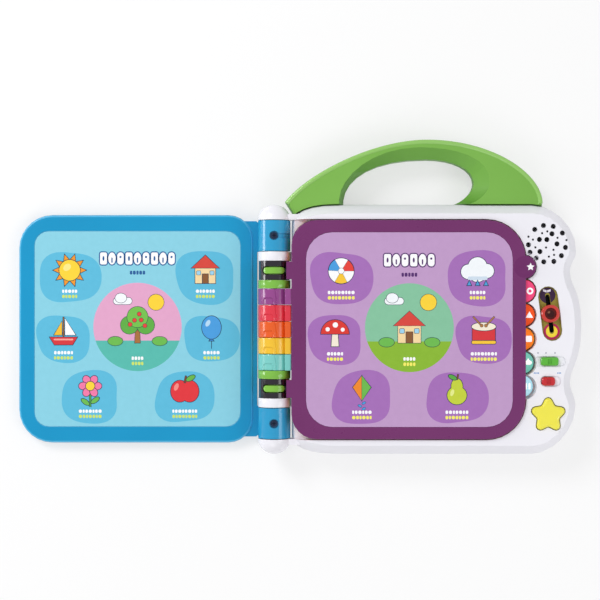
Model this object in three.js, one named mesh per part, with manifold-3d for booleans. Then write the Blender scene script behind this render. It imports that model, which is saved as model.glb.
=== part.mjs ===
// A toddler's electronic sound book, lying open on its back at the first spread: a hinged cover on the left,
// a spine of coloured knuckles, and on the right a battery case with five stiff pages, a control strip and a handle.
// Millimetres, +Z up. The spine's axis is the line x = 0, z = AXIS_Z while the pieces are made.
import * as THREE from "three";
import { mergeVertices } from "three/addons/utils/BufferGeometryUtils.js";
import Module from "manifold-3d";

const wasm = await Module();
wasm.setup();

// Driving dimensions: the closed book
const CLOSED_THICKNESS = 48;
const COVER_THICKNESS = 9.25;
const BOOK_HEIGHT = 199.2;
const WALL = 2.2;
const CLEARANCE = 0.3;
const STACK_CLEARANCE = 0.25;

// Spine
const SPINE_RADIUS = 12.9;
const ROD_RADIUS = 2.5;
const DOME_LENGTH = 12.4;
const COLLAR_LENGTH = 24.2;
const SPINE_JOINT = 0.6;
const WHITE_RING_LENGTH = 7.2;
const SLEEVE_LENGTH = 14.9;
const SLEEVE_RADIUS = 12.3;
const SLEEVE_WINDOW_GAP = 1;
const RIB_LENGTH = 4.9;
const RIB_WIDTH = 16.8;
const RIB_CORNER = 2;
const RIB_RADIUS = 12.1;
const BUSH_CORE_RADIUS = 8.2;
const GREEN_RING_LENGTH = 6.4;
const KNUCKLE_JOINT = 0.3;
const KNUCKLE_REACH_X = 13.5;
const KNUCKLE_RISER_X = 8.6;
const KNUCKLE_RISER_DEPTH = 4;
const DENT_LEFT_X = -8.7;
const DENT_RIGHT_X = -0.4;
const DENT_HEIGHT = 5.5;
const DENT_CORNER = 2.5;
const DENT_DEPTH = 0.7;
const COLLAR_GROOVE_WIDTH = 4.2;
const COLLAR_GROOVE_DEPTH = 1.1;
const DOME_WEB_LENGTH = 4.6;
const COLLAR_SCREW_RECESS_RADIUS = 3.7;
const COLLAR_SCREW_RECESS_DEPTH = 4.2;
const SCREW_HEAD_RADIUS = 2.6;
const SCREW_SHANK_RADIUS = 1.3;

// Cover
const COVER_REACH = 207.4;
const COVER_HEIGHT = 184.7;
const COVER_OUTER_CORNER = 27;
const COVER_INNER_CORNER = 20;
const COVER_FRAME_INNER_X = 17.5;
const COVER_FLANGE_X = 14.2;
const COVER_FLANGE_HEIGHT = 175;
const COVER_FLANGE_DROP = 1.8;
const COVER_FIELD_WIDTH = 167.3;
const COVER_FIELD_HEIGHT = 158.8;
const COVER_FIELD_X = 111.2;
const COVER_FIELD_CORNER = 11.5;
const COVER_ARM_REACH = 5;
const COVER_RIM_WIDTH = 2.6;

// Pages
const PAGE_COUNT = 5;
const PAGE_THICKNESS = 2.4;
const PAGE_GAP = 0.3;
const PAGE_INNER_X = 13.8;
const PAGE_OUTER_X = 199;
const PAGE_HEIGHT = 173.3;
const PAGE_CORNER = 31;
const PAGE_INNER_CORNER = 20;
const PAGE_SQUARE_CORNER = 2;
const PAGE_EDGE_ROUND = 0.5;
const PAGE_TONGUE_X = 9.8;
const PAGE_FIELD_BORDER = 10.2;
const PAGE_FIELD_WIDTH = 163.7;
const PAGE_FIELD_CORNER = 21;
const TAB_RADIUS = 9.2;
const TAB_CENTRE_INSET = 1;
const TAB_TOP_Y = 49.5;
const TAB_PITCH = 19;
const LABEL_THICKNESS = 0.3;
const LABEL_RECESS = 0.45;

// Case
const CASE_LEFT_X = 14.2;
const STRIP_START_X = PAGE_OUTER_X - TAB_CENTRE_INSET + TAB_RADIUS;
const CREST_REACH = 38.6;
const NECK_REACH = 29.4;
const UPPER_LOBE_REACH = 34.4;
const LOWER_LOBE_REACH = 33.8;
const CASE_PANEL_Z = 36;
const CASE_PARTING_Z = 18;
const CASE_SHOULDER_WIDTH = 7.6;
const CASE_SHOULDER_DROP = 11;
const CASE_FOOT_ROUND = 3.2;
const HOLLOW_SHARE = 0.65;
const BED_MARGIN = 0.85;
const STEP_DROP = 1.1;
const WEB_LOWEST_Z = 19;
const CORNER_RIM_Z = 29;

// Handle
const HANDLE_TOP_Y = 151.5;
const HANDLE_BOTTOM_Z = 8;
const HANDLE_FACE_Z = 28;
const HANDLE_RIM_WIDTH = 3.6;
const HANDLE_RIM_DROP = 4.2;
const HANDLE_RIGHT_X = 214.3;
const HANDLE_OUTER_RIGHT = [214.3, 124, 175.2, 151.5, 122, HANDLE_TOP_Y];
const HANDLE_OUTER_LEFT = [79, HANDLE_TOP_Y, 26, 124.5, 8.6, 101.8];
const HANDLE_TIP = [16.2, 89.8];
const GRIP_LEFT_X = 55.4;
const GRIP_RIGHT_X = 143;
const GRIP_CURVES = [[150, 101.5, 160, 109, 160, 117], [160, 128, 145, 136.2, 122, 136.2], [80, 136.2, 57.5, 122, 55.4, 103]];
const FLARE_LEFT_X = 51.6;
const FLARE_RIGHT_X = 155;
const FLARE_CURVES = [[163, 102, 172, 109, 172, 118], [172, 137, 145, 145.4, 115, 145.2], [78, 144.5, 52.5, 122, 51.6, 103]];

// Controls, as places on the case
const SPEAKER_X = STRIP_START_X + 8.8;
const SPEAKER_Y = 68.1;
const SPEAKER_RADIUS = 13.3;
const SPEAKER_DEPTH = 5.2;
const MAGNET_RADIUS = 8.4;
const MAGNET_THICKNESS = 4;
const GRILLE_HOLE_RADIUS = 2.15;
const GRILLE_SMALL_HOLE_RADIUS = 1.05;
const MODE_SLOT_TOP = [STRIP_START_X + 9.7, 26.4];
const MODE_SLOT_BOTTOM = [STRIP_START_X + 13.2, -1.2];
const MODE_SLOT_RADIUS = 7.9;
const MODE_PLATE_DEPTH = 3;
const MODE_TRAVEL = 13.5;
const VOLUME_X = STRIP_START_X + 10.7;
const VOLUME_Y = -25.2;
const VOLUME_WIDTH = 14.2;
const VOLUME_HEIGHT = 6.7;
const VOLUME_TRAVEL = 5;
const LANGUAGE_X = STRIP_START_X + 9.8;
const LANGUAGE_Y = -40.9;
const LANGUAGE_WIDTH = 10.7;
const LANGUAGE_HEIGHT = 6.9;
const LANGUAGE_TRAVEL = 4;
const SLIDER_RECESS_DEPTH = 1.2;
const SLIDER_PROUD = 2.4;
const STAR_X = STRIP_START_X + 9.8;
const STAR_Y = -67.7;
const STAR_RADIUS = 14.9;
const STAR_WAIST_SHARE = 0.6;
const STAR_FLANGE_RADIUS = 12.2;
const STAR_PROUD = 2.4;
const STAR_TRAVEL = 1.5;

// Inside the case
const BOARD_THICKNESS = 1.6;
const BOARD_LEFT_X = STRIP_START_X + 0.8;
const BOARD_NECK_GAP = 10.6;
const BOARD_LOW_Y = -88;
const BOARD_HIGH_Y = 46;
const BOARD_POST_INSET = 4;
const BOARD_POST_RADIUS = 2.4;
const BATTERY_RADIUS = 7.2;
const BATTERY_LENGTH = 50.5;
const BATTERY_X = 118;
const BATTERY_Y = -38;
const DOOR_WIDTH = 70;
const DOOR_HEIGHT = 42;
const DOOR_CORNER = 5;
const DOOR_THICKNESS = 2.2;
const BOSS_RADIUS = 4.2;
const CASE_SCREW_DEPTH = 5;

// Sizes worked out from the ones above
const AXIS_Z = CLOSED_THICKNESS / 2;
const CASE_CREST_X = STRIP_START_X + CREST_REACH;
const CASE_NECK_X = STRIP_START_X + NECK_REACH;
const CASE_UPPER_LOBE_X = STRIP_START_X + UPPER_LOBE_REACH;
const CASE_LOWER_LOBE_X = STRIP_START_X + LOWER_LOBE_REACH;
const HALF_HEIGHT = BOOK_HEIGHT / 2;
const COVER_FLANGE_Z = COVER_THICKNESS - COVER_FLANGE_DROP;
const COVER_SPLIT_Z = COVER_THICKNESS / 2;
const COLLAR_END_Y = HALF_HEIGHT - DOME_LENGTH - SPINE_JOINT;
const COLLAR_START_Y = COLLAR_END_Y - COLLAR_LENGTH;
const WHITE_RING_END_Y = COLLAR_START_Y - SPINE_JOINT;
const WHITE_RING_START_Y = WHITE_RING_END_Y - WHITE_RING_LENGTH;
const SLEEVE_END_Y = WHITE_RING_START_Y - CLEARANCE;
const SLEEVE_START_Y = SLEEVE_END_Y - SLEEVE_LENGTH;
const RIB_MIDDLE_Y = (SLEEVE_START_Y + SLEEVE_END_Y) / 2;
const GREEN_RING_END_Y = SLEEVE_START_Y - CLEARANCE;
const GREEN_RING_START_Y = GREEN_RING_END_Y - GREEN_RING_LENGTH;
const KNUCKLE_LENGTH =
  (2 * (GREEN_RING_START_Y - KNUCKLE_JOINT) - (PAGE_COUNT - 1) * KNUCKLE_JOINT) / PAGE_COUNT;
const PAGE_PITCH = PAGE_THICKNESS + PAGE_GAP;
const TOP_PAGE_Z = CLOSED_THICKNESS - COVER_THICKNESS - STACK_CLEARANCE - PAGE_THICKNESS;
const BED_Z = TOP_PAGE_Z - (PAGE_COUNT - 1) * PAGE_PITCH - PAGE_GAP;
const BED_FLOOR_Z = BED_Z - LABEL_THICKNESS;
const CASE_SHOULDER_Z = CASE_PANEL_Z - CASE_SHOULDER_DROP;
const BORE_RADIUS = ROD_RADIUS + CLEARANCE;
const COLLAR_SCREW_Y = (COLLAR_START_Y + COLLAR_END_Y) / 2;
const MODE_PLATE_Z = CASE_PANEL_Z - MODE_PLATE_DEPTH;
const BOARD_Z = CASE_PARTING_Z + CLEARANCE;
const BOARD_TOP_Z = BOARD_Z + BOARD_THICKNESS;
const CUT_MARGIN = 5;

const COLOURS = {
  coverBlue: 0x1c99c8,
  printBlue: 0x8bd0e5,
  white: 0xf1f0f6,
  green: 0x80b957,
  ribGreen: 0x86c44a,
  dark: 0x1b1521,
  steel: 0xb8bcc2,
  yellow: 0xf3e94a,
  red: 0xc8202a,
  slideGreen: 0x55b032,
  olive: 0x9a8a28,
  board: 0x2c6b3f,
  copper: 0xb48a4a,
  paper: 0x2a2a2e,
};
const PAGE_COLOURS = [0x934485, 0xe03045, 0xee5a18, 0xf2b820, 0x70c8c0];

// Geometry helpers
const book = new THREE.Group();

// A closed geometry as a solid. A profile may run either way round, so an inside-out one is turned.
function solidFrom(geometry) {
  const bare = geometry.clone();
  bare.deleteAttribute("normal");
  bare.deleteAttribute("uv");
  const welded = mergeVertices(bare, 1e-4);
  const faces = welded.index.array;
  const kept = [];
  for (let i = 0; i < faces.length; i += 3) {
    const [a, b, c] = faces.slice(i, i + 3);
    if (a !== b && b !== c && a !== c) kept.push(a, b, c);
  }
  const vertProperties = welded.attributes.position.array;
  const made = new wasm.Manifold(new wasm.Mesh({ numProp: 3, vertProperties, triVerts: new Uint32Array(kept) }));
  if (made.volume() > 0) return made;
  const turnedOut = new Uint32Array(kept.reverse());
  return new wasm.Manifold(new wasm.Mesh({ numProp: 3, vertProperties, triVerts: turnedOut }));
}

function geometryFrom(solid) {
  const mesh = solid.getMesh();
  const positions = new Float32Array(mesh.numVert * 3);
  for (let i = 0; i < mesh.numVert; i++) {
    positions.set(mesh.vertProperties.subarray(i * mesh.numProp, i * mesh.numProp + 3), i * 3);
  }
  const geometry = new THREE.BufferGeometry();
  geometry.setAttribute("position", new THREE.BufferAttribute(positions, 3));
  geometry.setIndex(new THREE.BufferAttribute(new Uint32Array(mesh.triVerts), 1));
  geometry.computeVertexNormals();
  return geometry;
}

function add(name, solid, color, roughness = 0.35, metalness = 0) {
  const material = new THREE.MeshStandardMaterial({ color, roughness, metalness });
  const mesh = new THREE.Mesh(geometryFrom(solid), material);
  mesh.name = name;
  book.add(mesh);
}

const joined = (solids) => solids.reduce((whole, piece) => whole.add(piece));
const without = (solid, cutters) => cutters.reduce((left, cutter) => left.subtract(cutter), solid);

// An outline's point after a corner arc of radius r, for each corner [x, y, r] taken anticlockwise.
function rounded(corners) {
  const points = [];
  corners.forEach(([x, y, r], i) => {
    const before = corners.at(i - 1);
    const after = corners[(i + 1) % corners.length];
    const here = new THREE.Vector2(x, y);
    if (!r) {
      points.push(here);
      return;
    }
    const back = new THREE.Vector2(before[0] - x, before[1] - y).normalize();
    const on = new THREE.Vector2(after[0] - x, after[1] - y).normalize();
    const half = Math.acos(THREE.MathUtils.clamp(back.dot(on), -1, 1)) / 2;
    const centre = back.clone().add(on).normalize().multiplyScalar(r / Math.sin(half)).add(here);
    const start = back.clone().multiplyScalar(r / Math.tan(half)).add(here).sub(centre);
    const end = on.clone().multiplyScalar(r / Math.tan(half)).add(here).sub(centre);
    const sweep = Math.atan2(start.cross(end), start.dot(end));
    const steps = arcSteps(r, Math.abs(sweep));
    for (let k = 0; k <= steps; k++) {
      points.push(start.clone().rotateAround(new THREE.Vector2(), (sweep * k) / steps).add(centre));
    }
  });
  return points;
}

function arcSteps(radius, sweep) {
  const largestChordError = 0.2;
  const step = 2 * Math.acos(1 - Math.min(largestChordError / radius, 0.5));
  return Math.max(2, Math.ceil(sweep / Math.min(step, Math.PI / 4)));
}

const rectangle = (x0, y0, x1, y1, r = 0) => rounded([[x0, y0, r], [x1, y0, r], [x1, y1, r], [x0, y1, r]]);

function circle(x, y, radius, sides = arcSteps(radius, 2 * Math.PI)) {
  return Array.from({ length: sides }, (_, i) => {
    const turn = (2 * Math.PI * i) / sides;
    return new THREE.Vector2(x + radius * Math.cos(turn), y + radius * Math.sin(turn));
  });
}

// The outline moved inwards by a distance, or outwards by a negative one, with each corner kept.
function inset(outline, distance) {
  if (!distance) return outline;
  return outline.map((point, i) => {
    const before = point.clone().sub(outline.at(i - 1)).normalize();
    const after = outline[(i + 1) % outline.length].clone().sub(point).normalize();
    const normal = new THREE.Vector2(-before.y - after.y, before.x + after.x);
    return normal.multiplyScalar(distance / (1 + before.dot(after))).add(point);
  });
}

// A closed solid through rings of equally many points, each ring { points, z }, lowest first.
function loftRings(rings) {
  const count = rings[0].points.length;
  const positions = rings.flatMap(({ points, z }) => points.flatMap((p) => [p.x, p.y, z]));
  const index = [];
  for (let k = 0; k + 1 < rings.length; k++) {
    for (let i = 0; i < count; i++) {
      const a = k * count + i;
      const b = k * count + ((i + 1) % count);
      index.push(a, b, b + count, a, b + count, a + count);
    }
  }
  const top = (rings.length - 1) * count;
  for (const [a, b, c] of THREE.ShapeUtils.triangulateShape(rings[0].points, [])) index.push(a, c, b);
  for (const [a, b, c] of THREE.ShapeUtils.triangulateShape(rings.at(-1).points, [])) {
    index.push(top + a, top + b, top + c);
  }
  const geometry = new THREE.BufferGeometry();
  geometry.setAttribute("position", new THREE.Float32BufferAttribute(positions, 3));
  geometry.setIndex(index);
  return solidFrom(geometry);
}

// A solid over one outline, with levels [z, inset] from the lowest up.
const loft = (outline, levels) => loftRings(levels.map(([z, d]) => ({ points: inset(outline, d), z })));

const slab = (outline, z0, z1) => loft(outline, [[z0, 0], [z1, 0]]);
const block = (x0, x1, y0, y1, z0, z1, r = 0) => slab(rectangle(x0, y0, x1, y1, r), z0, z1);
const post = (x, y, radius, z0, z1, sides) => slab(circle(x, y, radius, sides), z0, z1);

// A slab whose upper edge is eased.
const pageSlab = (outline, z0, z1) => loft(outline, [[z0, 0], [z1 - PAGE_EDGE_ROUND, 0], [z1, PAGE_EDGE_ROUND]]);

// A piece turned about the spine's axis, from a closed profile of [radius, y].
function turned(profile, sides = 20) {
  const points = [...profile, profile[0]].map(([r, y]) => new THREE.Vector2(r, y));
  const geometry = new THREE.LatheGeometry(points, sides);
  geometry.translate(0, 0, AXIS_Z);
  return solidFrom(geometry);
}

const ring = (r0, r1, y0, y1, sides) => turned([[r0, y0], [r1, y0], [r1, y1], [r0, y1]], sides);

// A ring on the spine whose two outer edges are eased.
function easedRing(r0, r1, y0, y1, ease = 0.6) {
  return turned([[r0, y0], [r1 - ease, y0], [r1, y0 + ease], [r1, y1 - ease], [r1 - ease, y1], [r0, y1]]);
}

// A solid turned about an upright axis at (x, y), from a profile of [radius, z] that starts and ends on it.
function turnedUpright(x, y, profile, sides = 20) {
  const points = profile.map(([r, z]) => new THREE.Vector2(r, z));
  const geometry = new THREE.LatheGeometry(points, sides);
  geometry.rotateX(Math.PI / 2);
  geometry.translate(x, y, 0);
  return solidFrom(geometry);
}

const mirrorY = (solid) => solid.mirror([0, 1, 0]);
const bothEnds = (solid) => solid.add(mirrorY(solid));

// Outlines in plan
function curved(start, curves, divisions = 6) {
  const path = new THREE.Path();
  path.moveTo(...start);
  for (const curve of curves) {
    if (curve.length === 2) path.lineTo(...curve);
    else path.bezierCurveTo(...curve);
  }
  return path.curves.flatMap((curve) => curve.getPoints(curve.isLineCurve ? 1 : divisions).slice(1));
}

// One side of the case's wavy edge: from a neck to a crest or back, upright at both ends.
function wave([x0, y0], [x1, y1], handle0, handle1) {
  const way = Math.sign(y1 - y0);
  return [x0, y0 + way * handle0, x1, y1 - way * handle1, x1, y1];
}

function caseOutline() {
  const cornerX = CASE_LEFT_X + 34;
  const cornerY = HALF_HEIGHT - 13.6;
  const endX = CASE_LOWER_LOBE_X - 35;
  const lowerCrest = [CASE_LOWER_LOBE_X, -61.4];
  const lowerNeck = [CASE_NECK_X, -42.2];
  const middleCrest = [CASE_CREST_X, 2.5];
  const upperNeck = [CASE_NECK_X, 45.8];
  const upperCrest = [CASE_UPPER_LOBE_X, 63];
  return curved([cornerX, -HALF_HEIGHT], [
    [endX, -HALF_HEIGHT],
    [endX + 16, -HALF_HEIGHT, lowerCrest[0], lowerCrest[1] - 20.6, ...lowerCrest],
    wave(lowerCrest, lowerNeck, 8, 8),
    wave(lowerNeck, middleCrest, 12, 30),
    wave(middleCrest, upperNeck, 30, 12),
    wave(upperNeck, upperCrest, 8, 8),
    [upperCrest[0], upperCrest[1] + 20.6, endX + 16, HALF_HEIGHT, endX, HALF_HEIGHT],
    [cornerX, HALF_HEIGHT],
    [CASE_LEFT_X + 14, HALF_HEIGHT, CASE_LEFT_X, cornerY + 8, CASE_LEFT_X, cornerY],
    [CASE_LEFT_X, -cornerY],
    [CASE_LEFT_X, -cornerY - 8, CASE_LEFT_X + 14, -HALF_HEIGHT, cornerX, -HALF_HEIGHT],
  ]);
}

function pageOutline(grow = 0, innerCorner = PAGE_INNER_CORNER) {
  const outer = PAGE_OUTER_X + grow;
  const half = PAGE_HEIGHT / 2 + grow;
  return rounded([
    [PAGE_INNER_X, -half, innerCorner],
    [outer, -half, PAGE_CORNER + grow],
    [outer, half, PAGE_CORNER + grow],
    [PAGE_INNER_X, half, innerCorner],
  ]);
}

function pageFieldOutline(shrink = 0) {
  const left = PAGE_OUTER_X - PAGE_FIELD_BORDER - PAGE_FIELD_WIDTH + shrink;
  const right = PAGE_OUTER_X - PAGE_FIELD_BORDER - shrink;
  const half = PAGE_HEIGHT / 2 - PAGE_FIELD_BORDER + 0.7 - shrink;
  return rectangle(left, -half, right, half, PAGE_FIELD_CORNER - shrink);
}

function coverOutline() {
  const half = COVER_HEIGHT / 2;
  return rounded([
    [-COVER_REACH, -half, COVER_OUTER_CORNER],
    [-COVER_FRAME_INNER_X, -half, COVER_INNER_CORNER],
    [-COVER_FRAME_INNER_X, half, COVER_INNER_CORNER],
    [-COVER_REACH, half, COVER_OUTER_CORNER],
  ]);
}

const tabY = (place) => TAB_TOP_Y - place * TAB_PITCH;
const tabX = PAGE_OUTER_X - TAB_CENTRE_INSET;

// The half-round end of the spine, as a profile of [radius, y] from its foot to the axis.
const domeCurve = (grow) => Array.from({ length: 7 }, (_, k) => {
  const turn = (k * Math.PI) / 12;
  return [(SPINE_RADIUS + grow) * Math.cos(turn), HALF_HEIGHT - DOME_LENGTH + (DOME_LENGTH + grow) * Math.sin(turn)];
});

// The spine's fixed eyes, moulded on the front of the case: a domed end and a plain ring at each end.
function spineEyes() {
  const domeStart = HALF_HEIGHT - DOME_LENGTH;
  const dome = turned([
    [BORE_RADIUS, domeStart],
    ...domeCurve(0).slice(0, -1),
    [0, HALF_HEIGHT],
    [0, HALF_HEIGHT - WALL],
    [BORE_RADIUS, HALF_HEIGHT - WALL],
  ]);
  const whiteRing = ring(BORE_RADIUS, SPINE_RADIUS, WHITE_RING_START_Y, WHITE_RING_END_Y);
  const webX = CASE_LEFT_X + WALL;
  const webTop = AXIS_Z + 6;
  const domeWeb = block(4, webX + 4, domeStart, domeStart + DOME_WEB_LENGTH, WEB_LOWEST_Z, webTop);
  const ringWeb = block(4, webX, WHITE_RING_START_Y, WHITE_RING_END_Y, WEB_LOWEST_Z, BED_FLOOR_Z);
  return bothEnds(joined([dome, whiteRing, domeWeb, ringWeb]));
}

// The pages' bed, a scalloped pocket that is open towards the spine. Its rounded inner corners stand only to a low
// rim, over which the edges of the lower pages swing when they are turned.
function bedCutter(z0, z1) {
  const half = PAGE_HEIGHT / 2 + BED_MARGIN;
  const straightHalf = PAGE_HEIGHT / 2 - PAGE_INNER_CORNER;
  const pocket = slab(pageOutline(BED_MARGIN), z0, z1);
  const mouth = block(0, PAGE_INNER_X + 10, -straightHalf, straightHalf, z0, z1);
  const overRim = block(0, PAGE_INNER_X + PAGE_INNER_CORNER, -half, half, CORNER_RIM_Z, z1);
  const scallops = Array.from({ length: PAGE_COUNT + 1 }, (_, place) =>
    post(tabX, tabY(place), TAB_RADIUS + BED_MARGIN, z0, z1));
  return joined([pocket, mouth, overRim, ...scallops]);
}

// The bed's walls and floor taken as one lump, which the hollow of the case goes round.
function bedLump(grow) {
  const out = WALL + grow;
  const reach = TAB_RADIUS + BED_MARGIN + out;
  const floor = BED_FLOOR_Z - out;
  return joined([
    slab(inset(pageOutline(BED_MARGIN, PAGE_SQUARE_CORNER), -out), floor, CLOSED_THICKNESS),
    block(CASE_LEFT_X - out, tabX + reach, tabY(PAGE_COUNT), tabY(0), floor, CLOSED_THICKNESS),
    post(tabX, tabY(0), reach, floor, CLOSED_THICKNESS),
    post(tabX, tabY(PAGE_COUNT), reach, floor, CLOSED_THICKNESS),
  ]);
}

// A straight slot with half-round ends about two points.
function capsule([x0, y0], [x1, y1], radius) {
  const turn = Math.atan2(y1 - y0, x1 - x0);
  const steps = arcSteps(radius, Math.PI);
  const end = (x, y, from) => Array.from({ length: steps + 1 }, (_, k) => {
    const angle = from + (Math.PI * k) / steps;
    return new THREE.Vector2(x + radius * Math.cos(angle), y + radius * Math.sin(angle));
  });
  return [...end(x1, y1, turn - Math.PI / 2), ...end(x0, y0, turn + Math.PI / 2)];
}

// The grille's holes, in millimetres from the middle of the speaker.
const GRILLE_HOLES = [
  [-2.7, 14.2], [5, 13.5], [-9.6, 11.1], [12.3, 8.3], [4, 7.7], [-5.9, 3.2], [0, 3.1], [8, -0.3],
  [14.7, -3.1], [-14.6, -1], [-5.5, -6.4], [-13.4, -7], [11.5, -9.6], [-8.5, -11.5], [-2.5, -14.5], [5.5, -14.2],
];
const GRILLE_SMALL_HOLES = [
  [-14.6, 5.4], [-11.1, 3.1], [-3.8, 8.1], [0.3, 9.6], [8.4, 4.5], [15.5, 2.7], [-9.1, -3], [-0.7, -3.2],
  [5.2, -5], [5.7, -9], [1.6, -10.4],
];

function starOutline(grow = 0) {
  const corners = [];
  for (let k = 0; k < 10; k++) {
    const turn = Math.PI / 2 + (k * Math.PI) / 5;
    const sharp = k % 2 === 0;
    const radius = sharp ? STAR_RADIUS + 2.6 : STAR_RADIUS * STAR_WAIST_SHARE;
    corners.push([STAR_X + radius * Math.cos(turn), STAR_Y + radius * Math.sin(turn), sharp ? 3.2 : 2.4]);
  }
  return inset(rounded(corners), -grow);
}

const volumeOutline = rectangle(VOLUME_X - VOLUME_WIDTH / 2, VOLUME_Y - VOLUME_HEIGHT / 2,
  VOLUME_X + VOLUME_WIDTH / 2, VOLUME_Y + VOLUME_HEIGHT / 2, 1.6);
const languageOutline = rectangle(LANGUAGE_X - LANGUAGE_WIDTH / 2, LANGUAGE_Y - LANGUAGE_HEIGHT / 2,
  LANGUAGE_X + LANGUAGE_WIDTH / 2, LANGUAGE_Y + LANGUAGE_HEIGHT / 2, 2);
const STEM_RADIUS = 1.5;

// A slider's recess in the panel, with the slot that its stem runs in.
function sliderRecess(x, y, width, height, low, high) {
  const floor = CASE_PANEL_Z - SLIDER_RECESS_DEPTH;
  const gap = 0.7;
  const recess = block(x + low - width / 2 - gap, x + high + width / 2 + gap, y - height / 2 - gap,
    y + height / 2 + gap, floor, CASE_PANEL_Z + CUT_MARGIN, height / 2);
  const slot = slab(capsule([x + low, y], [x + high, y], STEM_RADIUS + CLEARANCE),
    CASE_PANEL_Z - CUT_MARGIN, floor + 1);
  return recess.add(slot);
}

const CASE_SCREWS = [[34, 80], [34, -80], [128, 88], [128, -88], [203, 86], [203, -86]];

function frontShell(outline) {
  const shoulder = [
    [CASE_PARTING_Z + CLEARANCE, 0],
    [CASE_SHOULDER_Z - 1.5, 0],
    [CASE_SHOULDER_Z + 3.5, 1.6],
    [CASE_PANEL_Z - STEP_DROP, CASE_SHOULDER_WIDTH - 0.4],
    [CASE_PANEL_Z, CASE_SHOULDER_WIDTH],
  ];
  const hollow = shoulder.map(([z, d]) => [z - WALL, WALL + d * HOLLOW_SHARE]);
  hollow[0][0] = CASE_PARTING_Z - CUT_MARGIN;
  const outside = loft(outline, shoulder);
  const inside = loft(outline, hollow).subtract(bedLump(0));
  const grille = [...GRILLE_HOLES.map((at) => [...at, GRILLE_HOLE_RADIUS, 9]),
    ...GRILLE_SMALL_HOLES.map((at) => [...at, GRILLE_SMALL_HOLE_RADIUS, 5])]
    .map(([x, y, radius, sides]) => post(SPEAKER_X + x, SPEAKER_Y + y, radius,
      CASE_PANEL_Z - 2 * WALL, CASE_PANEL_Z + 1, sides));
  const bosses = joined(CASE_SCREWS.map(([x, y]) =>
    post(x, y, BOSS_RADIUS, CASE_PARTING_Z + CLEARANCE, CLOSED_THICKNESS, 10))).intersect(outside);
  const pilots = CASE_SCREWS.map(([x, y]) =>
    post(x, y, SCREW_SHANK_RADIUS + CLEARANCE, CASE_PARTING_Z - 1, BED_FLOOR_Z - 1.5, 6));
  const shell = without(outside.subtract(inside).add(bosses), [
    bedCutter(BED_FLOOR_Z, CLOSED_THICKNESS),
    slab(capsule(MODE_SLOT_TOP, MODE_SLOT_BOTTOM, MODE_SLOT_RADIUS), CASE_SHOULDER_Z, CLOSED_THICKNESS),
    slab(starOutline(CLEARANCE + 0.3), CASE_SHOULDER_Z, CLOSED_THICKNESS),
    sliderRecess(VOLUME_X, VOLUME_Y, VOLUME_WIDTH, VOLUME_HEIGHT, -VOLUME_TRAVEL, VOLUME_TRAVEL),
    sliderRecess(LANGUAGE_X, LANGUAGE_Y, LANGUAGE_WIDTH, LANGUAGE_HEIGHT, 0, LANGUAGE_TRAVEL),
    ...grille,
  ]);
  return without(shell.add(spineEyes()), pilots);
}

// The battery bay's walls stand on the back shell, round two cells that lie side by side.
const bayWidth = BATTERY_LENGTH + 6;
const bayHeight = 4 * BATTERY_RADIUS + 3;

function rearShell(outline) {
  const outside = loft(outline, [[0, CASE_FOOT_ROUND], [1, 1.1], [CASE_FOOT_ROUND, 0], [CASE_PARTING_Z, 0]]);
  const inside = loft(outline, [
    [WALL, CASE_FOOT_ROUND + WALL],
    [CASE_FOOT_ROUND + WALL, WALL],
    [CASE_PARTING_Z + CUT_MARGIN, WALL],
  ]);
  const bay = block(BATTERY_X - bayWidth / 2 - WALL, BATTERY_X + bayWidth / 2 + WALL,
    BATTERY_Y - bayHeight / 2 - WALL, BATTERY_Y + bayHeight / 2 + WALL, 0.5, CASE_PARTING_Z - 0.4);
  const bayRoom = block(BATTERY_X - bayWidth / 2, BATTERY_X + bayWidth / 2,
    BATTERY_Y - bayHeight / 2, BATTERY_Y + bayHeight / 2, -1, CASE_PARTING_Z + 1);
  const doorSeat = slab(inset(doorOutline(), -CLEARANCE), -1, DOOR_THICKNESS + CLEARANCE);
  const doorLedge = slab(inset(doorOutline(), -WALL), 0, DOOR_THICKNESS + CLEARANCE + 1.8);
  const doorBoss = post(...DOOR_SCREW_AT, BOSS_RADIUS, 1, 12, 10);
  const doorPilot = post(...DOOR_SCREW_AT, SCREW_SHANK_RADIUS + CLEARANCE, -1, 10, 6);
  const bosses = CASE_SCREWS.map(([x, y]) => post(x, y, BOSS_RADIUS, 0.5, CASE_PARTING_Z - CLEARANCE, 10));
  const bores = CASE_SCREWS.flatMap(([x, y]) => [
    post(x, y, SCREW_SHANK_RADIUS + CLEARANCE, -1, CASE_PARTING_Z + 1, 6),
    post(x, y, SCREW_HEAD_RADIUS + CLEARANCE, -1, CASE_SCREW_DEPTH + CLEARANCE, 10),
  ]);
  const shell = joined([outside.subtract(inside), bay, doorLedge, doorBoss, ...bosses, ...boardPosts()]);
  return without(shell, [bayRoom, doorSeat, doorPilot, ...bores]);
}

const doorOutline = () => rectangle(BATTERY_X - DOOR_WIDTH / 2, BATTERY_Y - DOOR_HEIGHT / 2,
  BATTERY_X + DOOR_WIDTH / 2, BATTERY_Y + DOOR_HEIGHT / 2, DOOR_CORNER);
const DOOR_SCREW_AT = [BATTERY_X + DOOR_WIDTH / 2 - 2.6, BATTERY_Y];

const boardOutline = rectangle(BOARD_LEFT_X, BOARD_LOW_Y, CASE_NECK_X - BOARD_NECK_GAP, BOARD_HIGH_Y, 1.5);

function boardPosts() {
  const left = BOARD_LEFT_X + BOARD_POST_INSET;
  const right = CASE_NECK_X - BOARD_NECK_GAP - BOARD_POST_INSET;
  const low = BOARD_LOW_Y + BOARD_POST_INSET;
  const high = BOARD_HIGH_Y - BOARD_POST_INSET;
  return [[left, low], [right, low], [left, high], [right, high]]
    .map(([x, y]) => post(x, y, BOARD_POST_RADIUS, 1, CASE_PARTING_Z, 8));
}

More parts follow.
